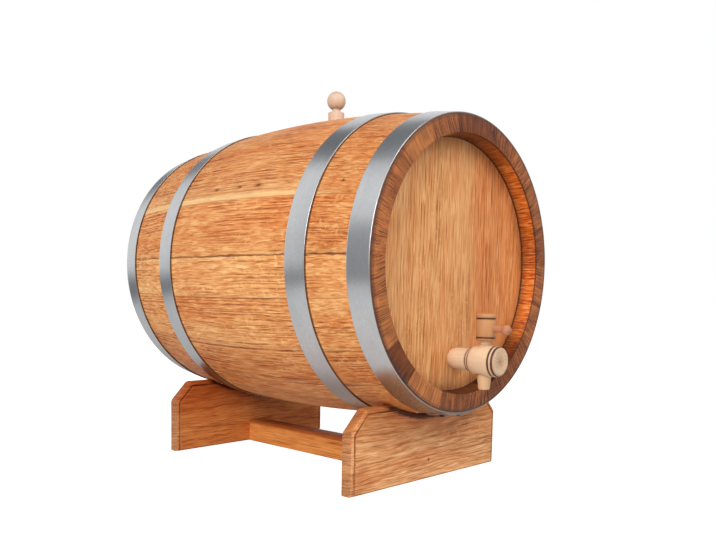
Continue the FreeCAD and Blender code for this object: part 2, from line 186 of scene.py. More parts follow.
def bored(mesh: Mesh, *cutters: Mesh) -> Mesh:
    """A mesh with other meshes cut out of it.

    Args:
        mesh: What is cut; it is used up.
        cutters: What is taken away; they are used up.

    Returns:
        The cut mesh.
    """
    for cutter in cutters:
        body, tool = (linked(name, as_data(name, part)) for name, part in (("cut_body", mesh), ("cut_tool", cutter)))
        modifier = body.modifiers.new("cut", "BOOLEAN")
        modifier.operation, modifier.solver, modifier.object = "DIFFERENCE", "EXACT", tool
        result = bpy.data.meshes.new_from_object(body.evaluated_get(bpy.context.evaluated_depsgraph_get()))
        mesh = bmesh.new()
        mesh.from_mesh(result)
        spent = [body.data, tool.data, result]
        for item in (body, tool):
            bpy.data.objects.remove(item)
        for data in spent:
            bpy.data.meshes.remove(data)
    return mesh


# ---------------------------------------------------------------- shader helpers

@dataclass(frozen=True)
class Wire:
    """A shader socket that Python's operators work on; numbers and wires mix freely."""

    graph: "Graph"
    socket: bpy.types.NodeSocket

    def math(self, operation: str, *others: "Wire | float") -> "Wire":
        """A Math node whose first value is this one."""
        return self.graph.node("ShaderNodeMath", {"operation": operation}, dict(enumerate((self, *others))))

    def __add__(self, other: "Wire | float") -> "Wire":
        """Sum."""
        return self.math("ADD", other)

    def __sub__(self, other: "Wire | float") -> "Wire":
        """Difference."""
        return self.math("SUBTRACT", other)

    def __mul__(self, other: "Wire | float") -> "Wire":
        """Product."""
        return self.math("MULTIPLY", other)

    def __truediv__(self, other: "Wire | float") -> "Wire":
        """Quotient."""
        return self.math("DIVIDE", other)

    def __rsub__(self, other: float) -> "Wire":
        """Difference from a number."""
        return self.graph.node("ShaderNodeMath", {"operation": "SUBTRACT"}, {0: other, 1: self})

    def __abs__(self) -> "Wire":
        """Size without sign."""
        return self.math("ABSOLUTE")

    __radd__ = __add__
    __rmul__ = __mul__

    def positive(self) -> "Wire":
        """The value, or 0 where it is less."""
        return self.math("MAXIMUM", 0.0)

    def share(self) -> "Wire":
        """The value, held between 0 and 1."""
        return self.math("MINIMUM", 1.0).positive()

    def smooth(self, low: float, high: float, start: float = 0.0, end: float = 1.0) -> "Wire":
        """A soft step.

        Args:
            low: Value at which the step starts; it may be the greater.
            high: Value at which it ends.
            start: Result before the step.
            end: Result after the step.

        Returns:
            The stepped value.
        """
        if low > high:
            low, high, start, end = high, low, end, start
        return self.graph.node("ShaderNodeMapRange", {"interpolation_type": "SMOOTHSTEP"},
                               {"Value": self, "From Min": low, "From Max": high, "To Min": start, "To Max": end})

    def near(self, place: float, reach: float, fade: float) -> "Wire":
        """A mask of 1 within a reach of one value, with an edge that fades."""
        return abs(self - place).smooth(reach + fade, reach)

    def under(self, mask: "Wire | float", colour: "Wire | Colour", blend: str = "MIX") -> "Wire":
        """This colour with another laid over it where a mask is 1."""
        return self.graph.mix(mask, self, colour, blend)

    def times(self, colour: Colour) -> "Wire":
        """This colour multiplied by another."""
        return self.under(1.0, colour, "MULTIPLY")


class Graph:
    """The nodes of one material or of the world."""

    def __init__(self, tree: bpy.types.NodeTree) -> None:
        """Take a node tree and empty it."""
        self.tree = tree
        tree.nodes.clear()

    def node(self, kind: str, settings: dict[str, Any] | None = None,
             inputs: dict[str | int, Any] | None = None, output: str | int = 0) -> Wire:
        """Add one node.

        Args:
            kind: Type of the node.
            settings: Its properties, set first; stops are a ramp's (place, colour) pairs.
            inputs: Values or wires of its sockets.
            output: Socket that is given back.

        Returns:
            The output as a wire.
        """
        made = self.tree.nodes.new(kind)
        for name, value in (settings or {}).items():
            if name != "stops":
                setattr(made, name, value)
                continue
            ramp = made.color_ramp.elements
            while len(ramp) < len(value):
                ramp.new(1.0)
            for element, (place, colour) in zip(ramp, value):
                element.position, element.color = place, (*colour, 1.0)
        for name, value in (inputs or {}).items():
            socket = made.inputs[name]
            if isinstance(value, Wire):
                self.tree.links.new(value.socket, socket)
            else:
                is_colour = socket.type == "RGBA" and len(value) == 3
                socket.default_value = (*value, 1.0) if is_colour else value
        return Wire(self, made.outputs[output] if made.outputs else made.inputs[0])

    def vector(self, operation: str, *values: "Wire | Sequence[float]", output: str | int = 0) -> Wire:
        """A Vector Math node."""
        return self.node("ShaderNodeVectorMath", {"operation": operation}, dict(enumerate(values)), output)

    def mix(self, factor: Wire | float, first: Wire | Colour, second: Wire | Colour, blend: str = "MIX") -> Wire:
        """Two colours blended, with a share of the second."""
        return self.node("ShaderNodeMix", {"data_type": "RGBA", "blend_type": blend},
                         {0: factor, 6: first, 7: second}, 2)

    def noise(self, vector: Wire, scale: Sequence[float], detail: float = 2.0, roughness: float = 0.5,
              distortion: float = 0.0) -> Wire:
        """Soft noise, 0 to 1.

        Args:
            vector: Where it is read.
            scale: Features to the metre along each part of the vector.
            detail: Octaves.
            roughness: Weight of the finer octaves.
            distortion: How far it is warped.

        Returns:
            The noise value.
        """
        return self.node("ShaderNodeTexNoise", None,
                         {"Vector": self.vector("MULTIPLY", vector, tuple(scale)), "Scale": 1.0, "Detail": detail,
                          "Roughness": roughness, "Distortion": distortion})

    def split(self, vector: Wire) -> tuple[Wire, Wire, Wire]:
        """The three parts of a vector."""
        parts = self.node("ShaderNodeSeparateXYZ", None, {0: vector}).socket.node.outputs
        return Wire(self, parts[0]), Wire(self, parts[1]), Wire(self, parts[2])

    def join(self, across: Wire | float, along: Wire | float, depth: Wire | float) -> Wire:
        """A vector from three parts."""
        return self.node("ShaderNodeCombineXYZ", None, {0: across, 1: along, 2: depth})

    def position(self) -> Wire:
        """The point in the object's own space."""
        return self.node("ShaderNodeTexCoord", output="Object")

    def from_axis(self, axis_z: float) -> tuple[Wire, Wire]:
        """Distance from the cask's axis, and height above it."""
        off = self.vector("MULTIPLY_ADD", self.position(), (1.0, 0.0, 1.0), (0.0, 0.0, -axis_z))
        return self.vector("LENGTH", off, output="Value"), self.split(off)[2]

    def towards(self, axis: Sequence[float]) -> Wire:
        """How squarely the surface faces a direction, -1 to 1."""
        normal = self.node("ShaderNodeTexCoord", output="Normal")
        return self.vector("DOT_PRODUCT", normal, tuple(axis), output="Value")

    def attribute(self, name: str) -> Wire:
        """A vector attribute of the mesh."""
        return self.node("ShaderNodeAttribute", {"attribute_name": name}, output="Vector")


def new_material(name: str) -> tuple[bpy.types.Material, Graph]:
    """An empty node material.

    Args:
        name: Its name.

    Returns:
        The material and its nodes.
    """
    material = bpy.data.materials.new(name)
    material.use_nodes = True
    return material, Graph(material.node_tree)


# ---------------------------------------------------------------- finishes

@dataclass(frozen=True)
class Sheen:
    """How a surface takes the light."""

    roughness: float = 0.5
    roughness_spread: float = 0.1
    metallic: float = 0.0
    bump: float = 0.3
    bump_depth: float = 0.1 * MM
    specular: float = 0.5

    def finish(self, graph: Graph, colour: Wire, wear: Wire, height: Wire) -> None:
        """Close a material.

        Args:
            graph: Its nodes.
            colour: Base colour.
            wear: Value, 0 to 1, that makes the surface rougher.
            height: Height that the bump follows.
        """
        normal = graph.node("ShaderNodeBump", None,
                            {"Strength": self.bump, "Distance": self.bump_depth, "Height": height})
        surface = graph.node("ShaderNodeBsdfPrincipled", None, {
            "Base Color": colour, "Roughness": wear * self.roughness_spread + self.roughness,
            "Metallic": self.metallic, "Specular IOR Level": self.specular, "Normal": normal})
        graph.node("ShaderNodeOutputMaterial", None, {"Surface": surface})


@dataclass(frozen=True)
class Finish:
    """What a piece is made of; each kind paints its own nodes."""

    name: str

    def paint(self, graph: Graph) -> None:
        """Fill in the nodes of the material."""
        raise NotImplementedError

    def make(self) -> bpy.types.Material:
        """Build the material.

        Returns:
            The material.
        """
        material, graph = new_material(self.name)
        self.paint(graph)
        return material


class Source(Enum):
    """Where a wood finish reads the point in the log that a surface point was cut from."""

    BOARD = "grain"
    OBJECT = "object"


@dataclass(frozen=True)
class Mark:
    """A small dark knot, crack or centre mark on a surface, or a soft disc of painted shade; its stretch is its length
    over its width along each axis.
    """

    place: Triple
    radius: float
    stretch: Triple = (1.0, 1.0, 1.0)
    core: float = 0.8


# Colours that every wood shares.
WARM = tint(244, 190, 140)
RED = tint(236, 180, 132)
SAPWOOD = tint(252, 214, 152)
CHIME = tint(252, 190, 94)
CHIME_GRAIN = tint(96, 42, 18)
# Painted shade in the corner where a head meets the inner wall.
CHIME_CORNER_SHADE = tint(66, 34, 16)
WET_END = tint(122, 86, 72)
# Painted shade on the rounded outer edge of a rim.
RIM_EDGE_SHADE = tint(74, 52, 50)
# Painted shadow of the chime round the edge of a head.
RIM_SHADE = tint(78, 42, 18)
# Painted shadow of the cask on the cradles.
SADDLE_SHADE = tint(74, 38, 18)
# Painted shade on the staves just in front of each hoop's edge.
HOOP_EDGE_SHADE = tint(70, 40, 26)
KNOT = tint(74, 38, 22)
SCORCH = tint(146, 84, 48)
BURN = tint(62, 26, 10)
BAND_TINT = tint(216, 178, 138)
JOINT = tint(84, 42, 25)


@dataclass(frozen=True)
class Wood(Finish):
    """Sawn or turned wood: growth rings, fibres, pores and rays, read in the log that the piece was cut from."""

    light: Colour
    body: Colour
    dark: Colour
    end_light: Colour
    end_dark: Colour
    ring: float = 3.0 * MM
    ring_strength: float = 0.5
    fibre_strength: float = 0.4
    pore_strength: float = 0.4
    dash_strength: float = 0.2
    fleck_strength: float = 0.0
    patch_strength: float = 0.35
    warm_strength: float = 0.35
    sway: float = 4.0 * MM
    run: float = 1.0
    seam_width: float = 0.0
    seam_colour: Colour = JOINT
    end_axis: Triple = (0.0, 1.0, 0.0)
    source: Source = Source.BOARD
    offset: Triple = (0.0, 0.0, 0.0)
    turn: Triple = (0.0, 0.0, 0.0)
    marks: tuple[Mark, ...] = ()
    burns: tuple[Point, ...] = ()
    # Darker bands along level_axis: centre, half width, fade and strength; on the cradles and the stretcher they are
    # painted shade.
    toasts: tuple[tuple[float, float, float, float], ...] = ()
    toast: Colour = BAND_TINT
    level_axis: int = 1
    # Places along Y of painted shade lines, which on the staves lie just in front of the hoops.
    hoop_shade_lines: tuple[float, ...] = ()
    # Axis height, inner radius and half length of the cask's hollow end, whose inner wall gets painted shade.
    hollow: Triple | None = None
    recess: float = 19.0 * MM
    # Axis height and radius of a head's edge, round which painted shadow of the chime is laid.
    rim: Point | None = None
    # Axis height and saddle radius of a cradle, round which painted shadow of the cask is laid.
    contact: Point | None = None
    sheen: Sheen = Sheen()

    def paint(self, graph: Graph) -> None:
        """Fill in the nodes: the long grain first, then what lies over it.

        Args:
            graph: The material's nodes.
        """
        if self.source is Source.BOARD:
            place = graph.attribute("grain")
            look = graph.split(graph.attribute("look"))
        else:
            place = graph.node("ShaderNodeMapping", None, {"Vector": graph.position(), "Location": self.offset,
                                                           "Rotation": self.turn})
            look = None
        across, along, depth = graph.split(place)
        bend, ripple = (graph.noise(place, scale, 2) - 0.5 for scale in ((18, 4, 18), (110, 30, 110)))
        across = across + bend * self.sway + ripple * (self.sway * 0.28)
        swayed = graph.join(across, along, depth)
        radius = (across * across + depth * depth).math("SQRT")
        drift = graph.node("ShaderNodeTexNoise", {"noise_dimensions": "1D"}, {"W": radius * 90, "Scale": 1.0})
        phase = (radius / self.ring + drift * 3.2).math("FRACT")
        early = phase.smooth(0.0, 0.16) * phase.smooth(0.75, 0.2)
        fibre = graph.noise(swayed, (880, 46 * self.run, 880), 3, 0.62)
        streak = graph.noise(swayed, (330, 27 * self.run, 330), 2, 0.55, 0.4)
        patch = graph.noise(swayed, (38, 8, 38), 2)
        clear = graph.noise(swayed, (46, 11, 46), 2).smooth(0.42, 0.58, 0.1, 1.0)
        pores = graph.noise(swayed, (700, 52 * self.run, 700), 1).smooth(0.58, 0.70) * (early * 0.6 + 0.4)
        dashes = graph.noise(swayed, (560, 46 * self.run, -560), 1).smooth(0.58, 0.70)
        rings = early * clear * self.ring_strength
        shade = rings + (fibre - 0.5) * (self.fibre_strength * 2.6) + (streak - 0.5) * (self.patch_strength * 2.2)
        shade = shade + (patch - 0.5) * self.patch_strength + 0.36 + pores * (self.pore_strength * 0.5)
        shade = (shade - dashes * self.dash_strength).share()
        stops = [(0.0, self.light), (0.5, self.body), (1.0, self.dark)]
        colour = graph.node("ShaderNodeValToRGB", {"stops": stops}, {0: shade})
        warm = graph.noise(swayed, (60, 6, 60), 2).smooth(0.42, 0.66) * self.warm_strength
        colour = colour.under(warm, colour.times(WARM))
        if self.fleck_strength:
            slant = along + (graph.noise(place, (95, 24, 95), 1) - 0.5) * (20 * MM)
            fleck = graph.noise(graph.join(across, slant, depth), (150, 260, 150), 1).smooth(0.60, 0.70)
            fleck = fleck * graph.noise(swayed, (24, 9, 24), 1).smooth(0.50, 0.62)
            colour = colour.under(fleck * self.fleck_strength, self.light)
        if look:
            tone, red, _ = look
            colour = colour.under(red, colour.times(RED))
            colour = colour.under((tone * -1.0).positive(), BLACK).under(tone.positive(), self.light)
        rough = graph.noise(place, (500, 70, 500), 2) - 0.5
        if self.seam_width:
            colour = self._seamed(graph, colour, swayed, rough)
        colour = self._ended(graph, colour, (place, swayed, radius, rings, patch, rough, look))
        self.sheen.finish(graph, self._marked(graph, colour), fibre, fibre * 0.5 - pores * 0.7 - rings * 0.4)

    def _seamed(self, graph: Graph, colour: Wire, swayed: Wire, rough: Wire) -> Wire:
        """Add the pale sapwood, the dark joints beside the board's long sides and a painted highlight beside each; on
        the cradles the dark line is painted shade in the groove.

        Args:
            graph: The material's nodes.
            colour: Colour without them.
            swayed: Point in the log.
            rough: Noise, -0.5 to 0.5, that frays them.

        Returns:
            Colour with them.
        """
        low_side, high_side, sap = graph.split(graph.attribute("board"))
        low_seam, high_seam, _ = graph.split(graph.attribute("seam"))
        inward = (high_side + rough * (3 * MM)) / (sap + 0.01 * MM)
        pale = (inward.smooth(1.0, 0.7) * 0.45 + inward.smooth(4.0, 1.2) * 0.18) * sap.smooth(0.1 * MM, 4.0 * MM)
        colour = colour.under(pale, SAPWOOD)
        gaps = graph.noise(swayed, (60, 26, 60), 1).smooth(0.36, 0.52, 0.35, 1.0)
        for side, strength in ((low_side, low_seam), (high_side, high_seam)):
            reach = side / ((strength * 0.9 + 0.5) * self.seam_width) + rough * 3.0
            # A painted highlight beside each joint, then the dark line itself: a dark joint on staves and heads,
            # painted shade in the groove on the cradles.
            colour = colour.under(reach.near(1.9, 0.4, 0.8) * gaps * strength * 0.5, self.light)
            colour = colour.under(reach.smooth(1.2, 0.3) * gaps * strength, self.seam_colour)
        return colour

    def _ended(self, graph: Graph, colour: Wire, parts: tuple) -> Wire:
        """Add the end grain, the darker inner wall of the cask's hollow end with its painted shade, and painted shade
        where pieces meet: round the heads, on the cradles and in front of the hoops.

        Args:
            graph: The material's nodes.
            colour: Colour of the long grain.
            parts: What the long grain was made of.

        Returns:
            Colour with them.
        """
        place, swayed, radius, rings, patch, rough, look = parts
        depth = graph.split(swayed)[2]
        level = graph.split(graph.position())[1]
        end = abs(graph.towards(self.end_axis)).smooth(0.50, 0.80)
        if self.hollow:
            axis_z, reach, half = self.hollow
            away, rise = graph.from_axis(axis_z)
            inside = away.smooth(reach + 1.0 * MM, reach)
            colour = colour.under(inside, colour.times(CHIME))
            hatch = graph.noise(place, (560, 26, 560), 2, 0.65) - 0.5
            colour = colour.under((hatch * 3.4).positive() * inside * 0.45, self.light)
            colour = colour.under((hatch * -4.4).positive() * inside * 0.7, CHIME_GRAIN)
            # The inner wall darker with the stave's end tone, with painted shade of the recess towards the top, and
            # darker towards the bottom.
            tone_and_recess_shade = (look[2] * -0.5).positive() + rise.smooth(0.098, 0.130) * 0.35 + rise.smooth(-0.035, -0.11) * 0.7
            colour = colour.under(tone_and_recess_shade * inside, BLACK)
            # Painted shade in the corner where the head meets the inner wall.
            depths = abs(level) + rough * (2 * MM)
            corner = depths.near(half - self.recess, 0.9 * MM, 2.2 * MM) * 0.5
            corner = corner + depths.near(half - self.recess, 1.0 * MM, 11.0 * MM) * 0.45
            colour = colour.under(corner * inside, CHIME_CORNER_SHADE)
            end = end.math("MAXIMUM", abs(level).smooth(half - 1.6 * MM, half - 1.0 * MM))
        ray = graph.noise(graph.join(radius, 0.0, depth), (760, 1, 26), 2, 0.6)
        spots = graph.noise(place, (700, 700, 700), 2)
        shade = rings + (ray - 0.5) * 2.6 + (spots - 0.5) * 0.9 + (patch - 0.5) * 0.8 + 0.42
        ends = graph.mix(shade.share(), self.end_light, self.end_dark)
        if look:
            ends = ends.under((look[2] * -1.0).positive(), ends.times(WET_END))
            ends = ends.under(look[2].positive(), self.body)
        if self.hollow:
            # Painted shade on the rounded outer edge of the rim.
            ends = ends.under(away.smooth(reach + 12.6 * MM, reach + 15.2 * MM) * 0.5, RIM_EDGE_SHADE)
        colour = colour.under(end, ends)
        # Painted shadow that the chime casts on the head round its edge, strongest towards the top and bottom.
        if self.rim:
            axis_z, reach = self.rim
            away, rise = graph.from_axis(axis_z)
            away = away + rough * (2 * MM)
            painted_shade = away.smooth(reach - 17.0 * MM, reach - 2.0 * MM) * 0.26
            painted_shade = painted_shade + away.smooth(reach - 4.0 * MM, reach) * 0.36
            colour = colour.under(painted_shade * abs(rise).smooth(55.0 * MM, 125.0 * MM, 0.6, 1.5), RIM_SHADE)
        # Painted shadow of the cask on the cradles round the saddle, weaker on the saddle itself.
        if self.contact:
            axis_z, reach = self.contact
            away = graph.from_axis(axis_z)[0] + rough * (5 * MM)
            painted_shade = away.smooth(reach + 13.0 * MM, reach) * 0.2 + away.smooth(reach + 48.0 * MM, reach) * 0.2
            painted_shade = painted_shade + away.smooth(reach + 5.0 * MM, reach + 1.5 * MM) * 0.65
            colour = colour.under(painted_shade * abs(graph.towards(Y_AXIS)).smooth(0.2, 0.9, 0.35, 1.0), SADDLE_SHADE)
        wander = (graph.noise(graph.position(), (60, 60, 60), 2) - 0.5) * (0.8 * MM)
        # Painted shade lines on the staves just in front of the hoops.
        for shade_at in self.hoop_shade_lines:
            colour = colour.under((level + wander).near(shade_at, 0.5 * MM, 0.8 * MM) * 0.75, HOOP_EDGE_SHADE)
        return colour

    def _marked(self, graph: Graph, colour: Wire) -> Wire:
        """Add the knots, the darker bands, which on the cradles and the stretcher are painted shade, and the burned
        rings.

        Args:
            graph: The material's nodes.
            colour: Colour without them.

        Returns:
            Colour with them.
        """
        where = graph.position()
        wobble = graph.noise(where, (420, 420, 420), 2) - 0.5
        for mark in self.marks:
            off = graph.vector("MULTIPLY", graph.vector("SUBTRACT", where, mark.place),
                               tuple(1.0 / part for part in mark.stretch))
            away = graph.vector("LENGTH", off, output="Value") / mark.radius + wobble * 1.2
            colour = colour.under(away.smooth(2.6, 1.0) * 0.45, self.dark, "MULTIPLY")
            colour = colour.under(away.smooth(1.1, 0.6) * mark.core, KNOT)
        if self.burns or self.toasts:
            level = graph.split(where)[self.level_axis] + (graph.noise(where, (140, 140, 140), 1) - 0.5) * (0.3 * MM)
            flank = abs(graph.towards(self.end_axis)).smooth(0.97, 0.88)
            # Darker bands; those on the cradles and the stretcher are painted shade.
            for centre, half, fade, strength in self.toasts:
                colour = colour.under(level.near(centre, half, fade) * strength, colour.times(self.toast))
            for centre, half in self.burns:
                colour = colour.under(level.near(centre, half + 0.5 * MM, 1.2 * MM) * flank * 0.35, SCORCH)
                colour = colour.under(level.near(centre, half, 0.3 * MM) * flank * 0.94, BURN)
        return colour


@dataclass(frozen=True)
class Steel(Finish):
    """Rolled, galvanised strip: faint spangle, roll lines and dull patches, with painted shade on the faces that look
    down.
    """

    name: str = "galvanised_strip"
    light: Colour = tint(200, 201, 202)
    dark: Colour = tint(184, 186, 190)
    # Colour of the strip's edges, also laid as painted shade on the faces that look down.
    edge: Colour = tint(122, 104, 92)
    sheen: Sheen = Sheen(roughness=0.24, roughness_spread=0.08, metallic=1.0, bump=0.06, bump_depth=0.03 * MM)

    def paint(self, graph: Graph) -> None:
        """Fill in the nodes.

        Args:
            graph: The material's nodes.
        """
        place = graph.position()
        patches = graph.noise(place, (22, 30, 22), 3, 0.6)
        cells = {"Vector": graph.vector("MULTIPLY", place, (300, 300, 300)), "Scale": 1.0}
        grey = graph.split(graph.node("ShaderNodeTexVoronoi", {"feature": "F1"}, cells, "Color"))[0]
        scratch = graph.noise(place, (40, 2600, 40), 2, 0.6)
        shade = patches * 0.55 + grey * 0.10 + scratch * 0.35
        colour = graph.mix(shade.smooth(0.30, 0.75), self.light, self.dark)
        colour = colour.under(abs(graph.towards(Y_AXIS)).smooth(0.75, 0.97) * 0.85, self.edge)
        # Painted shade on the faces that look down.
        colour = colour.under(graph.towards(-Z_AXIS).smooth(0.60, 0.80) * 0.6, self.edge)
        self.sheen.finish(graph, colour, shade, scratch * 0.6 + grey * 0.3)


@dataclass(frozen=True)
class Cork(Finish):
    """Pressed cork: pale body with darker crumbs."""

    name: str = "natural_cork"
    body: Colour = tint(190, 146, 100)
    crumb: Colour = tint(122, 80, 48)
    sheen: Sheen = Sheen(roughness=0.8, bump=0.5, bump_depth=0.2 * MM)

    def paint(self, graph: Graph) -> None:
        """Fill in the nodes."""
        crumbs = graph.noise(graph.position(), (900, 900, 900), 3, 0.6)
        self.sheen.finish(graph, graph.mix(crumbs.smooth(0.52, 0.68), self.body, self.crumb), crumbs, 1 - crumbs)


# ---------------------------------------------------------------- pieces

class Maker:
    """Turns finished meshes into pieces of the part and keeps count of them."""

    def __init__(self) -> None:
        """Start with no finishes made."""
        self.finishes: dict[str, bpy.types.Material] = {}
        self.count = 0

    def finish(self, finish: Finish) -> bpy.types.Material:
        """The material of a finish, made the first time that it is asked for.

        Args:
            finish: The finish.

        Returns:
            Its material.
        """
        if finish.name not in self.finishes:
            self.finishes[finish.name] = finish.make()
        return self.finishes[finish.name]

    def piece(self, name: str, mesh: Mesh, finish: Finish, body: str, nodes: Sequence[str],
              sharp: float = 40.0) -> bpy.types.Object:
        """Make one visible piece.

        Args:
            name: Its name.
            mesh: Its mesh, in place; it is used up.
            finish: Its finish.
            body: CAD body that it rides on.
            nodes: CAD nodes that it stands for.
            sharp: Angle in degrees from which an edge is sharp.

        Returns:
            The new object.
        """
        for face in mesh.faces:
            face.smooth = True
        for edge in mesh.edges:
            edge.smooth = len(edge.link_faces) == 2 and edge.calc_face_angle(0.0) < math.radians(sharp)
        made = linked(name, as_data(name, mesh))
        made.data.materials.append(self.finish(finish))
        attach(made, body)
        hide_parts(*nodes)
        self.count += 1
        log.info("%s: %d faces, rides on %s", name, len(made.data.polygons), body)
        return made

    def dress_node(self, node: str, finish: Finish) -> None:
        """Give a CAD node that stays a finish.

        Args:
            node: Its name.
            finish: The finish.
        """
        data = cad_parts[node].data
        data.materials.clear()
        data.materials.append(self.finish(finish))
        log.info("%s keeps its solid", node)


def cut_from_log(made: bpy.types.Object, place: Callable[[Vector], Sequence[float]],
                 board: Callable[[Vector], Sequence[float]], look: Triple = (0.0, 0.0, 0.0),
                 seam: Point = (0.3, 0.3)) -> None:
    """Store, at each point, where in the log it was cut from and how it lies on its board.

    Args:
        made: The piece.
        place: Gives (across, along, depth) in the log, in metres, with the pith at 0.
        board: Gives the distances from the board's two long sides and the width of the sapwood on the second.
        look: Its tone, its redness and the tone of its end grain.
        seam: How dark the lines along its low and its high side are: dark joints on staves and heads, painted shade in
            a cradle's groove.
    """
    for name, function in (("grain", place), ("board", board), ("look", lambda point: look),
                           ("seam", lambda point: (*seam, 0.0))):
        layer = made.data.attributes.new(name, "FLOAT_VECTOR", "POINT")
        layer.data.foreach_set("vector", [part for vert in made.data.vertices for part in function(vert.co)])


@dataclass
class CaskShape:
    """Driving sizes of the cask's shell and the curves that follow from them."""

    length: float = 408.8 * MM
    rim_radius: float = 150.0 * MM
    bilge_rise: float = 16.4 * MM
    chime_thickness: float = 18.0 * MM
    chime_bevel: float = 2.5 * MM
    bilge_thickness: float = 22.0 * MM
    chime_depth: float = 19.0 * MM
    croze_depth: float = 4.6 * MM
    head_tongue: float = 8.0 * MM
    head_thickness: float = 16.0 * MM
    axis_z: float = 228.69 * MM

    @property
    def half(self) -> float:
        """Half the cask's length."""
        return self.length / 2

    @property
    def head_y(self) -> float:
        """Distance of a head's outer face from the middle."""
        return self.half - self.chime_depth

    @property
    def chime_radius(self) -> float:
        """Radius inside the chime at the rim."""
        return self.rim_radius - self.chime_thickness

    @property
    def croze_radius(self) -> float:
        """Radius inside the chime at the head's face."""
        return self.chime_radius - self.chime_bevel

    @staticmethod
    def curve(middle: float, end: float, reach: float) -> float:
        """Radius of an arc that drops from middle at 0 to end at reach."""
        return (reach ** 2 + (middle - end) ** 2) / (2 * (middle - end))

    def bow(self, y: float, middle: float, end: float, reach: float) -> float:
        """Distance from the axis, at y, of such an arc."""
        curve = self.curve(middle, end, reach)
        return middle - curve + math.sqrt(curve ** 2 - y ** 2)

    def outer(self, y: float) -> float:
        """Outer radius of the staves at y."""
        return self.bow(y, self.rim_radius + self.bilge_rise, self.rim_radius, self.half)

    def inner(self, y: float) -> float:
        """Inner radius of the staves at y."""
        return self.bow(y, self.rim_radius + self.bilge_rise - self.bilge_thickness, self.croze_radius, self.head_y)

    def polar(self, point: Vector) -> Point:
        """Distance from the axis and angle, in degrees from 0 to 360, of a point."""
        rise = point.z - self.axis_z
        return math.hypot(point.x, rise), math.degrees(math.atan2(rise, point.x)) % 360

    def at(self, radius: float, y: float, angle: float) -> Vector:
        """The point at a distance from the axis and an angle in degrees."""
        turn = math.radians(angle)
        return Vector((radius * math.cos(turn), y, self.axis_z + radius * math.sin(turn)))

    def spun(self, section: Sequence[Point], start: float, sweep: float, steps: int) -> Mesh:
        """Spin a (radius, y) section about the cask's axis from an angle over a sweep, both in degrees."""
        return revolved(section, lambda radius, y: self.at(radius, y, start), (0.0, 0.0, self.axis_z), -Y_AXIS,
                        steps, sweep)


@dataclass(frozen=True)
class StaveLook:
    """How one stave was cut: its tone, its redness, its end grain's tone, its sapwood and how far from the pith."""

    tone: float = 0.0
    red: float = 0.0
    end_tone: float = -0.15
    sap: float = 0.0
    pith: float = 0.11


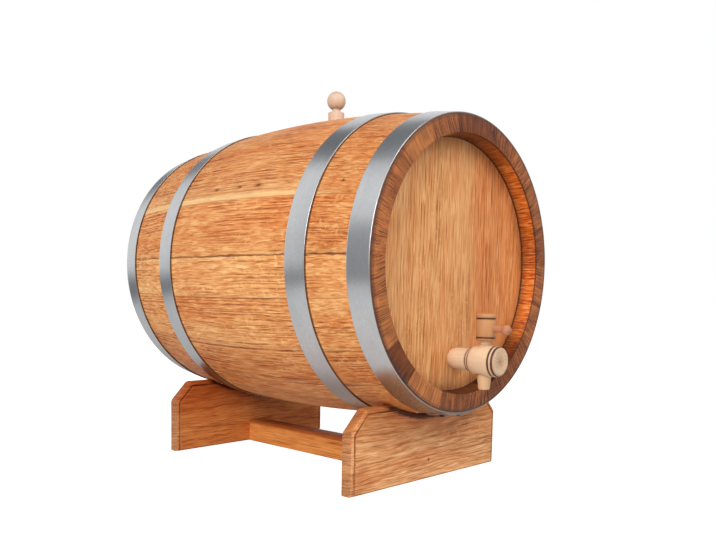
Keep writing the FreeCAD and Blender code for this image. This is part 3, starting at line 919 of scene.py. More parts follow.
@dataclass
class Staves:
    """The shell of the cask: straight-grained oak staves with eased edges."""

    shape: CaskShape
    first_angle: float = 2.0
    angles: tuple[float, ...] = (18, 19, 19, 21, 22, 18, 18, 20, 21, 15, 20, 17, 22, 16, 18, 19, 19, 19, 19)
    bung_stave: int = 5
    joint_gap: float = 0.05 * MM
    edge_ease: float = 0.35 * MM
    rim_ease: float = 0.9 * MM
    sink: float = 0.12 * MM
    length_steps: int = 44
    inner_steps: int = 20
    face_angle: float = 2.2
    least_faces: int = 6
    looks: tuple[tuple[float, ...], ...] = (
        (-0.03, 0.3, -0.45), (0.0, 0.2, -0.15), (-0.04, 0.3, -0.12), (-0.06, 0.2, -0.42), (-0.12, 0.3, -0.70),
        (-0.10, 0.3, -0.22), (-0.15, 0.35, 0.22), (-0.14, 0.3, -0.08, 7.0 * MM), (-0.06, 0.35, 0.02),
        (0.08, 0.05, 0.0), (0.02, 0.15, 0.15), (-0.08, 0.4, -0.72), (-0.08, 0.3, 0.22), (-0.05, 0.2, -0.32),
        (-0.06, 0.2, -0.20), (-0.04, 0.2, -0.50), (-0.02, 0.2, -0.35), (0.0, 0.2, -0.05), (0.0, 0.2, -0.12))
    joints: dict[int, float] = field(default_factory=lambda: {
        7: 0.35, 8: 0.15, 9: 0.2, 10: 0.7, 11: 0.2, 12: 0.45, 13: 0.35})
    plain_joint: float = 0.4
    seed: int = 7
    side_angle: float = 0.05
    sap_start: float = -175.0 * MM
    sap_run: float = 110.0 * MM

    def section(self) -> list[Point]:
        """The lengthways section.

        Returns:
            (radius, y) corners.
        """
        shape = self.shape
        inner_y = shape.head_y - shape.head_tongue
        groove = shape.croze_radius + shape.croze_depth
        croze = [(shape.chime_radius, shape.half), (shape.croze_radius, shape.head_y), (groove, shape.head_y),
                 (groove, inner_y)]
        return [*((shape.outer(y), y) for y in spread(-shape.half, shape.half, self.length_steps)), *croze,
                *((shape.inner(y), y) for y in spread(inner_y, -inner_y, self.inner_steps)),
                *((radius, -y) for radius, y in reversed(croze))]

    def build(self, maker: Maker, oak: Wood, bung_cutter: Callable[[], Mesh]) -> None:
        """Make every stave.

        Args:
            maker: Makes the pieces.
            oak: Their finish.
            bung_cutter: Makes what bores the bung hole.
        """
        shape, dice, start = self.shape, random.Random(self.seed), self.first_angle
        gap = math.degrees(self.joint_gap / shape.rim_radius)
        for number, width in enumerate(self.angles, 1):
            faces = max(self.least_faces, round(width / self.face_angle))
            mesh = shape.spun(self.section(), start + gap, width - 2 * gap, faces)
            self._ease(mesh, start + gap, width - 2 * gap)
            if number == self.bung_stave:
                mesh = bored(mesh, bung_cutter())
            spare = (dice.uniform(-0.08, 0.14), dice.uniform(0.0, 0.4), dice.uniform(-0.35, 0.0))
            look = StaveLook(*(self.looks[number - 1] if number <= len(self.looks) else spare))
            drop = dice.uniform(0.0, self.sink)
            mesh.transform(Matrix.Translation(shape.at(drop, 0.0, start + width / 2 + 180) - shape.at(0.0, 0.0, 0.0)))
            name = "stave_%02d" % number
            made = maker.piece(name + "_oak", mesh, oak, "cask", [name])
            after = number % len(self.angles) + 1
            seam = (self.joints.get(number, self.plain_joint), self.joints.get(after, self.plain_joint))
            self._cut(made, (start, width), look, seam, dice)
            start += width

    def _ease(self, mesh: Mesh, start: float, width: float) -> None:
        """Ease a stave's long outer edges and its rims.

        Args:
            mesh: The stave.
            start: First angle.
            width: Angle that it covers.
        """
        shape = self.shape

        def is_side(point: Vector) -> bool:
            """Whether a point is on a long side."""
            turn = (shape.polar(point)[1] - start) % 360
            return min(turn, 360 - turn, abs(turn - width)) < self.side_angle

        def is_outer(point: Vector) -> bool:
            """Whether a point is on the outer face."""
            return shape.polar(point)[0] > shape.outer(point.y) - 10 * TOUCH

        def is_rim(point: Vector) -> bool:
            """Whether a point is on one of the two rims."""
            return abs(abs(point.y) - shape.half) < TOUCH

        def is_chime(point: Vector) -> bool:
            """Whether a point is inside the chime."""
            return shape.polar(point)[0] < shape.chime_radius + 10 * TOUCH

        ease(mesh, edges_where(mesh, lambda point: is_side(point) and is_outer(point)), self.edge_ease)
        ease(mesh, edges_where(mesh, lambda point: is_rim(point) and is_outer(point),
                               lambda point: is_rim(point) and is_chime(point)), self.rim_ease, 3)

    def _cut(self, made: bpy.types.Object, span: Point, look: StaveLook, seam: Point, dice: random.Random) -> None:
        """Say where in its log a stave was cut.

        Args:
            made: The stave.
            span: Its first angle and the angle that it covers.
            look: How it was cut.
            seam: How dark its two long sides are stained.
            dice: Seeded random numbers.
        """
        shape, (start, width) = self.shape, span
        mean = shape.rim_radius
        pith = look.pith * dice.uniform(0.8, 1.3) * dice.choice((-1, 1))
        lift, shift = dice.uniform(-0.02, 0.02), dice.uniform(0, 9)
        lean = dice.uniform(-0.012, 0.012)

        def turned_by(point: Vector) -> float:
            """Angle of a point from the stave's middle, in degrees."""
            return (shape.polar(point)[1] - start - width / 2 + 180) % 360 - 180

        def place(point: Vector) -> Triple:
            """Where a point lies in the log."""
            return (math.radians(turned_by(point)) * mean + pith + lean * point.y, point.y + shift,
                    shape.polar(point)[0] - mean + lift)

        def board(point: Vector) -> Triple:
            """How far a point is from the stave's sides, and how wide the sapwood is there."""
            sap = look.sap * min(1.0, max(0.0, (point.y - self.sap_start) / self.sap_run))
            return (math.radians(width / 2 + turned_by(point)) * mean,
                    math.radians(width / 2 - turned_by(point)) * mean, sap)

        cut_from_log(made, place, board, (look.tone, look.red, look.end_tone), seam)


@dataclass
class Heads:
    """Both heads: flat oak boards side by side, held in the croze."""

    shape: CaskShape
    back_bevel: float = 6.0 * MM
    clearance: float = 0.25 * MM
    shares: tuple[float, ...] = (58, 52, 56, 54, 48)
    seam_gap: float = 0.04 * MM
    seam_ease: float = 0.3 * MM
    disc_steps: int = 128
    tones: tuple[Point, ...] = ((0.05, 0.0), (0.0, 0.05), (0.05, 0.1), (-0.01, 0.5), (-0.01, 0.6))
    end_tone: float = -0.1
    joint: float = 0.16
    seed: int = 11

    @property
    def radius(self) -> float:
        """Radius of a head."""
        return self.shape.croze_radius + self.shape.croze_depth - self.clearance

    def seams(self) -> list[float]:
        """Places, along X, of the joints between the front boards."""
        width = 2 * self.radius / sum(self.shares)
        return [sum(self.shares[:count]) * width - self.radius for count in range(1, len(self.shares))]

    def disc(self) -> Mesh:
        """A whole front head.

        Returns:
            The closed mesh.
        """
        shape = self.shape
        tongue, back = shape.head_y - shape.head_tongue, shape.head_y - shape.head_thickness
        shoulder = shape.inner(tongue) - self.clearance
        section = [(0.0, -shape.head_y), (self.radius, -shape.head_y), (self.radius, -tongue), (shoulder, -tongue),
                   (shoulder - self.back_bevel, -back), (0.0, -back)]
        mesh = shape.spun(section, 0.0, 360.0, self.disc_steps)
        spokes = [edge for edge in mesh.edges if any(shape.polar(vert.co)[0] < TOUCH for vert in edge.verts)]
        bmesh.ops.dissolve_edges(mesh, edges=spokes, use_verts=True)
        return mesh

    def build(self, maker: Maker, oak: Wood, tap_cutter: Callable[[], Mesh]) -> None:
        """Make the boards of both heads.

        Args:
            maker: Makes the pieces.
            oak: Their finish.
            tap_cutter: Makes what bores the tap hole.
        """
        dice = random.Random(self.seed)
        limits = [-self.shape.rim_radius, *self.seams(), self.shape.rim_radius]
        for end in ("front", "rear"):
            for number, (left, right) in enumerate(zip(limits, limits[1:]), 1):
                mesh = self._board(left, right)
                if end == "rear":
                    mesh.transform(Matrix.Rotation(math.pi, 4, Z_AXIS))
                elif left < 0 < right:
                    mesh = bored(mesh, tap_cutter())
                name = "%s_head_board_%d" % (end, number)
                made = maker.piece(name + "_oak", mesh, oak, "cask", [name])
                sides = (left, right) if end == "front" else (-right, -left)
                self._cut(made, sides, self.tones[number - 1], dice)

    def _board(self, left: float, right: float) -> Mesh:
        """One front board.

        Args:
            left: Its low side along X.
            right: Its high side along X.

        Returns:
            The closed mesh.
        """
        mesh = self.disc()
        for place, way in ((left, -1), (right, 1)):
            if abs(place) >= self.shape.rim_radius:
                continue
            place -= way * self.seam_gap
            cut = bmesh.ops.bisect_plane(mesh, geom=[*mesh.verts, *mesh.edges, *mesh.faces], dist=0.1 * TOUCH,
                                         plane_co=(place, 0, 0), plane_no=(way, 0, 0), clear_outer=True)
            bmesh.ops.contextual_create(
                mesh, geom=[item for item in cut["geom_cut"] if isinstance(item, bmesh.types.BMEdge)])
            bmesh.ops.recalc_face_normals(mesh, faces=mesh.faces)
            ease(mesh, edges_where(mesh, lambda point: abs(point.x - place) < TOUCH
                                   and abs(point.y + self.shape.head_y) < TOUCH), self.seam_ease)
        return mesh

    def _cut(self, made: bpy.types.Object, sides: Point, tone: Point, dice: random.Random) -> None:
        """Say where in its log a board was cut.

        Args:
            made: The board.
            sides: Its low and its high side along X.
            tone: Its tone and its redness.
            dice: Seeded random numbers.
        """
        low, high = max(sides[0], -self.shape.rim_radius), min(sides[1], self.shape.rim_radius)
        pith = dice.uniform(0.07, 0.12) * dice.choice((-1, 1))
        lift, shift, lean = dice.uniform(-0.02, 0.02), dice.uniform(0, 9), dice.uniform(-0.02, 0.02)

        def place(point: Vector) -> Triple:
            """Where a point lies in the log."""
            return point.x - (low + high) / 2 + pith + lean * point.z, point.z + shift, point.y + lift

        cut_from_log(made, place, lambda point: (point.x - low, high - point.x, 0.0), (*tone, self.end_tone),
                     (self.joint, self.joint))


@dataclass
class Hoops:
    """Four hoops of steel strip, each lapped underneath and held by two domed rivets."""

    shape: CaskShape
    thickness: float = 1.4 * MM
    width: float = 25.0 * MM
    clearance: float = 0.08 * MM
    head_setback: float = 1.6 * MM
    front_quarter_setback: float = 88.4 * MM
    rear_quarter_setback: float = 103.4 * MM
    hoop_steps: int = 180
    lap_angle: float = 18.0
    lap_centre: float = 267.5
    lap_steps: int = 12
    rivet_spacing: float = 10.6
    shank_radius: float = 1.8 * MM
    rivet_radius: float = 3.6 * MM
    rivet_height: float = 2.4 * MM
    rivet_lift: float = 0.1 * MM
    rivet_steps: int = 24
    edge_ease: float = 0.3 * MM

    def places(self) -> dict[str, float]:
        """The middle of each hoop along Y."""
        half, head = self.shape.half, self.shape.half - self.head_setback - self.width / 2
        return {"front_head": -head, "front_quarter": self.front_quarter_setback - half,
                "rear_quarter": half - self.rear_quarter_setback, "rear_head": head}

    def strip(self, middle: float, low: float) -> list[Point]:
        """Section of the strip, lying on the staves' curve.

        Args:
            middle: Its middle along Y.
            low: How far its inner face is from the staves.

        Returns:
            (radius, y) corners, with eased edges.
        """
        top, cut, soft = low + self.thickness, self.edge_ease, self.edge_ease * 0.3
        start, end = middle - self.width / 2, middle + self.width / 2
        between = [start + cut, start + 3 * cut, *spread(start, end, 6)[1:-1], end - 3 * cut, end - cut]
        rows = [(start, low + cut, start), (start, top - cut, start), (start, top - soft, start + soft),
                *((y, top, y) for y in between), (end, top - soft, end - soft), (end, top - cut, end),
                (end, low + cut, end), *((y, low, y) for y in reversed(between))]
        return [(self.shape.outer(y) + rise, place) for y, rise, place in rows]

    def build(self, maker: Maker, strip: Steel, rivet: Steel) -> None:
        """Make the hoops and their rivets.

        Args:
            maker: Makes the pieces.
            strip: Finish of the hoops.
            rivet: Finish of the rivets.
        """
        for name, middle in self.places().items():
            hoop = self.shape.spun(self.strip(middle, self.clearance), 0.0, 360.0, self.hoop_steps)
            lap = self.shape.spun(self.strip(middle, self.clearance + self.thickness),
                                  self.lap_centre - self.lap_angle / 2, self.lap_angle, self.lap_steps)
            self._join(hoop, lap)
            maker.piece(name + "_hoop_strip", hoop, strip, "cask", [name + "_hoop"])
            rivets = bmesh.new()
            for side in (-1, 1):
                self._join(rivets, self.rivet(middle, self.lap_centre + side * self.rivet_spacing / 2))
            maker.piece(name + "_hoop_studs", rivets, rivet, "cask", [name + "_hoop_rivets"])

    @staticmethod
    def _join(mesh: Mesh, other: Mesh) -> None:
        """Add a second shell to a mesh.

        Args:
            mesh: What gets it.
            other: The second shell; it is used up.
        """
        data = as_data("shell", other)
        mesh.from_mesh(data)
        bpy.data.meshes.remove(data)

    def rivet(self, middle: float, angle: float) -> Mesh:
        """One rivet, standing square to the strip.

        Args:
            middle: Place along Y.
            angle: Place round the cask, in degrees.

        Returns:
            The closed mesh.
        """
        shape, base = self.shape, 2 * self.thickness
        points = [(0.0, 0.0), (self.shank_radius, 0.0), (self.shank_radius, base),
                  *arc((0.0, base), (self.rivet_radius, self.rivet_height), range(0, 90, 15)),
                  (0.0, base + self.rivet_height)]
        tilt = math.asin(middle / shape.curve(shape.rim_radius + shape.bilge_rise, shape.rim_radius, shape.half))
        radial = shape.at(1.0, 0.0, angle) - shape.at(0.0, 0.0, angle)
        square = radial * math.cos(tilt) + Y_AXIS * math.sin(tilt)
        foot = shape.at(shape.outer(middle), middle, angle) + square * (self.clearance + self.rivet_lift)
        return turned(points, foot, square, self.rivet_steps)


@dataclass
class Bung:
    """Turned bung: tapered plug, short neck and ball knob."""

    shape: CaskShape
    y: float = -8.0 * MM
    top_radius: float = 9.6 * MM
    taper: float = 0.025
    collar: float = 14.0 * MM
    reach_inside: float = 4.0 * MM
    foot_ease: float = 0.5 * MM
    neck_radius: float = 4.8 * MM
    neck_length: float = 3.4 * MM
    ball_radius: float = 10.9 * MM
    ball_steps: int = 22
    steps: int = 56
    edge_radius: float = 1.2 * MM
    clearance: float = 0.06 * MM

    @property
    def top(self) -> float:
        """Height of the plug's flat top."""
        return self.shape.axis_z + self.shape.outer(self.y) + self.collar

    def _radius(self, height: float) -> float:
        """Radius of the taper at a height."""
        return self.top_radius - self.taper * (self.top - height)

    def cutter(self) -> Mesh:
        """What bores the bung hole.

        Returns:
            The closed mesh.
        """
        low = self.shape.axis_z
        return turned([(0.0, low), (self._radius(low) + self.clearance, low),
                       (self.top_radius + self.clearance, self.top), (0.0, self.top)], (0.0, self.y, 0.0), Z_AXIS)

    def build(self, maker: Maker, beech: Wood) -> None:
        """Make the bung.

        Args:
            maker: Makes the piece.
            beech: Its finish.
        """
        low = self.shape.axis_z + self.shape.inner(self.y) - self.reach_inside
        edge, ball = self.edge_radius, self.ball_radius
        centre = self.top + self.neck_length + math.sqrt(ball ** 2 - self.neck_radius ** 2)
        first = math.degrees(math.acos(self.neck_radius / ball))
        points = [(0.0, low), (self._radius(low) - self.foot_ease, low),
                  (self._radius(low + edge), low + self.foot_ease),
                  *arc((self.top_radius - edge, self.top - edge), (edge, edge), (0, 22, 45, 68, 90)),
                  *beside(self.neck_radius, self.top, (1.0, 0.0), (0.3, 0.3), (0.0, 1.0)),
                  *arc((0.0, centre), (ball, ball), spread(-first, 90, self.ball_steps)[:-1]), (0.0, centre + ball)]
        maker.piece("bung_turned", turned(points, (0.0, self.y, 0.0), Z_AXIS, self.steps), beech, "bung",
                    ["bung"])


@dataclass
class Tap:
    """Turned tap: a bored body driven into the head, and a key with its lever that turns in a cork sleeve."""

    shape: CaskShape
    drop: float = 95.7 * MM
    reach: float = 59.8 * MM
    barrel_radius: float = 15.8 * MM
    barrel_length: float = 33.2 * MM
    face_radius: float = 14.6 * MM
    collar_radius: float = 12.2 * MM
    bulb_radius: float = 11.4 * MM
    shank_radius: float = 8.8 * MM
    shank_taper: float = 0.03
    shank_reach: float = 12.0 * MM
    bore_radius: float = 3.5 * MM
    clearance: float = 0.06 * MM
    key_setback: float = 19.2 * MM
    stem_radius: float = 6.8 * MM
    stem_clearance: float = 0.25 * MM
    neck_radius: float = 5.5 * MM
    head_radius: float = 10.0 * MM
    head_rise: float = 20.9 * MM
    head_length: float = 27.5 * MM
    neck_flare: float = 1.4 * MM
    spout_reach: float = 29.3 * MM
    tip_radius: float = 5.7 * MM
    tip_length: float = 9.0 * MM
    spout_bore: float = 3.8 * MM
    port_radius: float = 2.4 * MM
    sleeve_radius: float = 9.43 * MM
    lever_rise: float = 33.6 * MM
    lever_drop: float = 4.0
    lever_radius: float = 3.1 * MM
    lever_ball: float = 5.2 * MM
    lever_reach: float = 24.0 * MM
    lever_seat: float = 7.0 * MM
    groove: float = 0.35 * MM
    overrun: float = 1.0 * MM
    lip_clearance: float = 0.1 * MM
    neck_clearance: float = 0.4 * MM
    lever_clearance: float = 0.05 * MM
    body_steps: int = 72
    cross_steps: int = 48
    lever_steps: int = 40
    ball_steps: int = 20
    sharp: float = 32.0

    @property
    def axis_z(self) -> float:
        """Height of the body's axis."""
        return self.shape.axis_z - self.drop

    @property
    def front_y(self) -> float:
        """Place of the barrel's face along Y."""
        return -self.shape.head_y - self.reach

    @property
    def key_y(self) -> float:
        """Place of the key's axis along Y."""
        return self.front_y + self.key_setback

    @property
    def cross(self) -> Vector:
        """Where the key's axis crosses the body's."""
        return Vector((0.0, self.key_y, self.axis_z))

    def cutter(self) -> Mesh:
        """What bores the tap hole in the front head.

        Returns:
            The closed mesh.
        """
        low, high = -self.overrun, self.shape.head_thickness + self.overrun
        sides = [(self.shank_radius - self.shank_taper * depth + self.clearance, depth) for depth in (low, high)]
        return turned([(0.0, low), *sides, (0.0, high)], (0.0, -self.shape.head_y, self.axis_z), Y_AXIS)

    def build(self, maker: Maker, body: Wood, key: Wood, lever: Wood, cork: Cork) -> None:
        """Make the tap's pieces.

        Args:
            maker: Makes the pieces.
            body: Finish of the body.
            key: Finish of the key.
            lever: Finish of the lever.
            cork: Finish of the sleeve.
        """
        for name, mesh, finish, rides_on in (("tap_body", self.body_mesh(), body, "tap"),
                                             ("tap_key", self.key_mesh(), key, "key"),
                                             ("tap_lever", self.lever_mesh(), lever, "key")):
            maker.piece(name + "_turned", mesh, finish, rides_on, [name], self.sharp)
        maker.dress_node("tap_cork_sleeve", cork)

    def grooved(self, radius: float, place: float, half: float) -> list[Point]:
        """Corners of a shallow groove."""
        return [(radius, place - half), (radius - self.groove, place), (radius, place + half)]

    def body_mesh(self) -> Mesh:
        """The body: dished face, grooved barrel, collar, bulb and tapered shank.

        Returns:
            The closed mesh.
        """
        back, barrel, head = self.barrel_length, self.barrel_radius, self.reach
        end = head + self.shape.head_thickness + self.shank_reach
        points = [(0.0, 1.2 * MM),
                  *beside(self.face_radius, 0.0, (-10.5, 1.1), (-7.5, 0.8), (-5.0, 0.3), (-3.6, 0.05), (-2.6, 0.0),
                          (-1.6, 0.15), (-0.7, 0.7), (0.0, 1.5), (0.4, 2.4)),
                  *beside(barrel, 0.0, (-0.35, 4.0)), *self.grooved(barrel - 0.12 * MM, 5.6 * MM, 0.6 * MM),
                  *beside(barrel, 0.0, (0.0, 9.0), (0.0, 20.0), (-0.7, 26.5), (-1.3, 30.0)),
                  *beside(self.collar_radius, back, (1.4, -1.4), (0.5, -0.4), (0.0, 0.0), (0.0, 2.6)),
                  *beside(self.bulb_radius, back, (-0.5, 3.2), (-0.1, 5.0), (0.0, 8.0), (0.0, 16.5)),
                  *beside(self.bulb_radius, head, (-0.4, -5.0), (-1.2, -3.2)),
                  *beside(self.shank_radius, head, (1.2, -1.8), (0.2, -0.8), (0.0, 0.0)),
                  *beside(self.shank_radius - self.shank_taper * (end - head), end, (0.0, -0.4), (-0.4, 0.0)),
                  (0.0, end)]
        mesh = turned(points, (0.0, self.front_y, self.axis_z), Y_AXIS, self.body_steps)
        lip = math.sqrt(barrel ** 2 - self.sleeve_radius ** 2) + self.lip_clearance
        stem = self.stem_radius + self.stem_clearance
        across = turned([(0.0, -2 * barrel), (self.sleeve_radius, -2 * barrel), (self.sleeve_radius, lip), (stem, lip),
                         (stem, 2 * barrel), (0.0, 2 * barrel)], self.cross, Z_AXIS, self.cross_steps)
        along = rod(self.bore_radius, self.front_y + end - self.key_y + self.overrun, self.cross, Y_AXIS)
        return bored(mesh, across, along)

    def key_mesh(self) -> Mesh:
        """The key: gripped head, neck, stem and bored spout.

        Returns:
            The closed mesh.
        """
        low = self.axis_z + self.head_rise
        high = low + self.head_length
        spout, neck = self.axis_z - self.spout_reach, self.axis_z + self.barrel_radius + self.neck_clearance
        radius, bore, port = self.head_radius, self.spout_bore, self.axis_z + self.port_radius
        points = [*beside(bore, spout, (0.3, 0.0)),
                  *beside(self.tip_radius, spout, (-0.6, 0.0), (0.0, 0.6), (0.45, 4.0)),
                  (self.stem_radius, spout + self.tip_length), (self.stem_radius, neck),
                  *beside(self.neck_radius, neck, (0.0, 0.6)), (self.neck_radius, low - self.neck_flare),
                  *beside(self.neck_radius, low, (0.5, -0.5)), (self.neck_radius + self.neck_flare, low),
                  *beside(radius, low, (-1.0, 0.0), (-0.3, 0.3), (0.0, 1.1)),
                  *self.grooved(radius, low + 2.6 * MM, 0.7 * MM), *self.grooved(radius, high - 5.6 * MM, 0.7 * MM),
                  *beside(radius, high, (0.0, -2.2), (-0.5, -1.0), (-1.6, -0.35)), (radius * 0.6, high - 0.05 * MM),
                  (0.0, high), (0.0, port + 1.5 * MM), (bore, port), *beside(bore, spout, (0.0, 0.3))]
        return bored(turned(points, (0.0, self.key_y, 0.0), Z_AXIS, 64),
                     rod(self.port_radius, 2 * self.stem_radius, self.cross, X_AXIS),
                     rod(self.lever_radius + self.lever_clearance, 2 * radius, self.seat(), self.lever_axis()))

    def lever_axis(self) -> Vector:
        """Direction of the lever: forwards and slightly down."""
        drop = math.radians(self.lever_drop)
        return Vector((0.0, -math.cos(drop), -math.sin(drop)))

    def seat(self) -> Vector:
        """Inner end of the lever, on the bottom of its hole."""
        return self.cross + Z_AXIS * self.lever_rise + self.lever_axis() * (self.head_radius - self.lever_seat)

    def lever_mesh(self) -> Mesh:
        """The lever: a peg with a ball end.

        Returns:
            The closed mesh.
        """
        peg, ball = self.lever_radius, self.lever_ball
        centre = self.lever_reach - self.head_radius + self.lever_seat
        first = math.degrees(math.asin(peg / ball))
        points = [(0.0, 0.0), *beside(peg, 0.0, (-0.4, 0.0), (0.0, 0.4)),
                  *arc((0.0, centre), (ball, ball), spread(first - 90, 90, self.ball_steps)[:-1]), (0.0, centre + ball)]
        return turned(points, self.seat(), self.lever_axis(), self.lever_steps)


@dataclass
class Stand:
    """Two cradle boards with saddles, joined by a stretcher on the floor."""

    shape: CaskShape
    half_width: float = 124.5 * MM
    thickness: float = 15.5 * MM
    end_height: float = 63.0 * MM
    corner: float = 22.0 * MM
    saddle_clearance: float = 0.1 * MM
    front_y: float = -152.6 * MM
    rear_y: float = 143.0 * MM
    stretcher_width: float = 20.0 * MM
    stretcher_height: float = 28.5 * MM
    stretcher_ease: float = 1.2 * MM
    stretcher_hole: float = 24.5 * MM
    dowel_radius: float = 4.05 * MM
    dowel_depth: float = 11.5 * MM
    dowel_height: float = 14.0 * MM
    overrun: float = 1.0 * MM
    face_ease: float = 3.8 * MM
    corner_ease: float = 7.0 * MM
    least_rounding: float = 0.4 * MM
    field_rise: float = 0.5 * MM
    groove: float = 1.3 * MM
    groove_depth: float = 0.8 * MM
    saddle_share: float = 0.5
    foot_share: float = 0.3
    saddle_steps: int = 18
    corner_steps: int = 5
    hair: float = 0.02 * MM
    seed: int = 23
    # How dark the line in the groove is drawn, as painted shade; the second value is for the far side, which has none.
    groove_shade: Point = (0.9, 0.0)
    stretcher_cut: Triple = (0.02, 3.0, 0.06)

    def build(self, maker: Maker, front: Wood, rear: Wood, stretcher: Wood, dowel: Wood) -> None:
        """Make the stand's pieces.

        Args:
            maker: Makes the pieces.
            front: Finish of the front cradle.
            rear: Finish of the rear cradle.
            stretcher: Finish of the stretcher.
            dowel: Finish of the dowels.
        """
        dice = random.Random(self.seed)
        for end, middle, inwards, oak in (("front", self.front_y, 1, front), ("rear", self.rear_y, -1, rear)):
            name = end + "_cradle"
            hole = self._hole(middle + inwards * self.thickness / 2, -inwards, self.dowel_depth + self.overrun)
            made = maker.piece(name + "_oak", bored(self.cradle(middle), hole), oak, "stand", [name])
            pith, shift, lift = dice.uniform(0.05, 0.09), dice.uniform(0, 9), dice.uniform(0.0, 0.02)
            cut_from_log(made, lambda point: (point.z + pith, point.x + shift, point.y - middle + lift),
                         lambda point: (0.0 if self._is_groove(point.y - middle) else 4 * self.groove, 1.0, 0.0),
                         seam=self.groove_shade)
            maker.dress_node(end + "_stand_dowel", dowel)
        made = maker.piece("stretcher_oak", self.stretcher(), stretcher, "stand", ["stretcher"])
        cut_from_log(made, lambda point: (point + Vector(self.stretcher_cut)).zyx, lambda point: (1.0, 1.0, 0.0))

    def _hole(self, y: float, way: int, depth: float) -> Mesh:
        """What bores a dowel hole into a face at y, along Y in one way."""
        return rod(self.dowel_radius, depth, (0.0, y - way * self.overrun, self.dowel_height), Y_AXIS * way)

    def _is_groove(self, depth: float) -> bool:
        """Whether a point at a distance from a cradle's middle plane is on the bottom of the groove."""
        return abs(abs(depth) + self.field_rise + self.groove_depth - self.thickness / 2) < 1.5 * self.hair

    def outline(self, y: float, inset: float) -> list[Vector]:
        """Outline of a cradle in one plane, drawn in from its sides, with rounded corners.

        Args:
            y: Place of the plane.
            inset: How far it is drawn in.

        Returns:
            Points, from the lower left round by the right.
        """
        reach, axis_z = max(self.corner_ease, inset + self.least_rounding), self.shape.axis_z
        width, top = self.half_width - reach, self.end_height + self.corner - reach
        slope = self.half_width + self.end_height - reach * math.sqrt(2)
        rounding = reach - inset
        saddle = self.shape.outer(y) + self.saddle_clearance + inset * self.saddle_share + rounding
        horn = math.sqrt(saddle ** 2 - (axis_z - top) ** 2)
        first = math.degrees(math.atan2(top - axis_z, horn))
        side = [(self.half_width - inset, inset * self.foot_share)]
        for centre, start, end in (((width, slope - width), 0, 45), ((slope - top, top), 45, 90),
                                   ((horn, top), 90, 180 + first)):
            side += arc(centre, (rounding, rounding), spread(start, end, self.corner_steps))
        radius = saddle - rounding
        side += arc((0.0, axis_z), (radius, radius), spread(first, -90, self.saddle_steps)[1:])
        return [Vector((x, y, z)) for x, z in side + [(-x, z) for x, z in reversed(side[:-1])]]

    def cradle(self, middle: float) -> Mesh:
        """One cradle board with rounded corners and edges, and a groove round each face.

        Args:
            middle: Its place along Y.

        Returns:
            The closed mesh.
        """
        half, inset = self.thickness / 2 - self.field_rise, self.face_ease
        profile = arc((half - inset, inset), (inset, inset), spread(-90, 0, self.corner_steps))
        # Rings in one plane can be bridged the wrong way round, so each flat falls by a hair.
        for width, rise in ((0.3 * MM, -self.hair), (0.45 * MM, -self.groove_depth),
                            (self.groove, -self.groove_depth - self.hair), (0.45 * MM, self.field_rise)):
            inset += width
            profile.append((half + rise, inset))
        mesh, rings = bmesh.new(), []
        for side, part in ((-1, profile[::-1]), (1, profile)):
            for depth, inset in part:
                verts = [mesh.verts.new(point) for point in self.outline(middle + side * depth, inset)]
                rings.append([mesh.edges.new(pair) for pair in zip(verts, verts[1:] + verts[:1])])
        for ring, after in zip(rings, rings[1:]):
            bmesh.ops.bridge_loops(mesh, edges=ring + after)
        for ring in (rings[0], rings[-1]):
            bmesh.ops.edgeloop_fill(mesh, edges=ring)
        bmesh.ops.recalc_face_normals(mesh, faces=mesh.faces)
        return mesh

    def stretcher(self) -> Mesh:
        """The stretcher, with eased long edges and a dowel hole in each end.

        Returns:
            The closed mesh.
        """
        low, high = self.front_y + self.thickness / 2, self.rear_y - self.thickness / 2
        mesh = bmesh.new()
        bmesh.ops.create_cube(mesh, size=1.0)
        mesh.transform(Matrix.Translation((0.0, (low + high) / 2, self.stretcher_height / 2))
                       @ Matrix.Diagonal((self.stretcher_width, high - low, self.stretcher_height, 1.0)))
        ease(mesh, [edge for edge in mesh.edges if abs(edge.verts[0].co.y - edge.verts[1].co.y) > 0.1],
             self.stretcher_ease, 3)
        return bored(mesh, *(self._hole(y, way, self.stretcher_hole) for y, way in ((low, 1), (high, -1))))


# ---------------------------------------------------------------- studio and camera

@dataclass(frozen=True)
class Lamp:
    """A square soft lamp: its name, where it stands, the side of its square and its power in watts."""

    name: str
    place: Triple
    size: float
    power: float


@dataclass(frozen=True)
class Flag:
    """A dark panel that only reflections see: the direction it stands in, and its half width and height in degrees."""

    name: str
    azimuth: float
    elevation: float
    reach: Point
    distance: float = 2.4


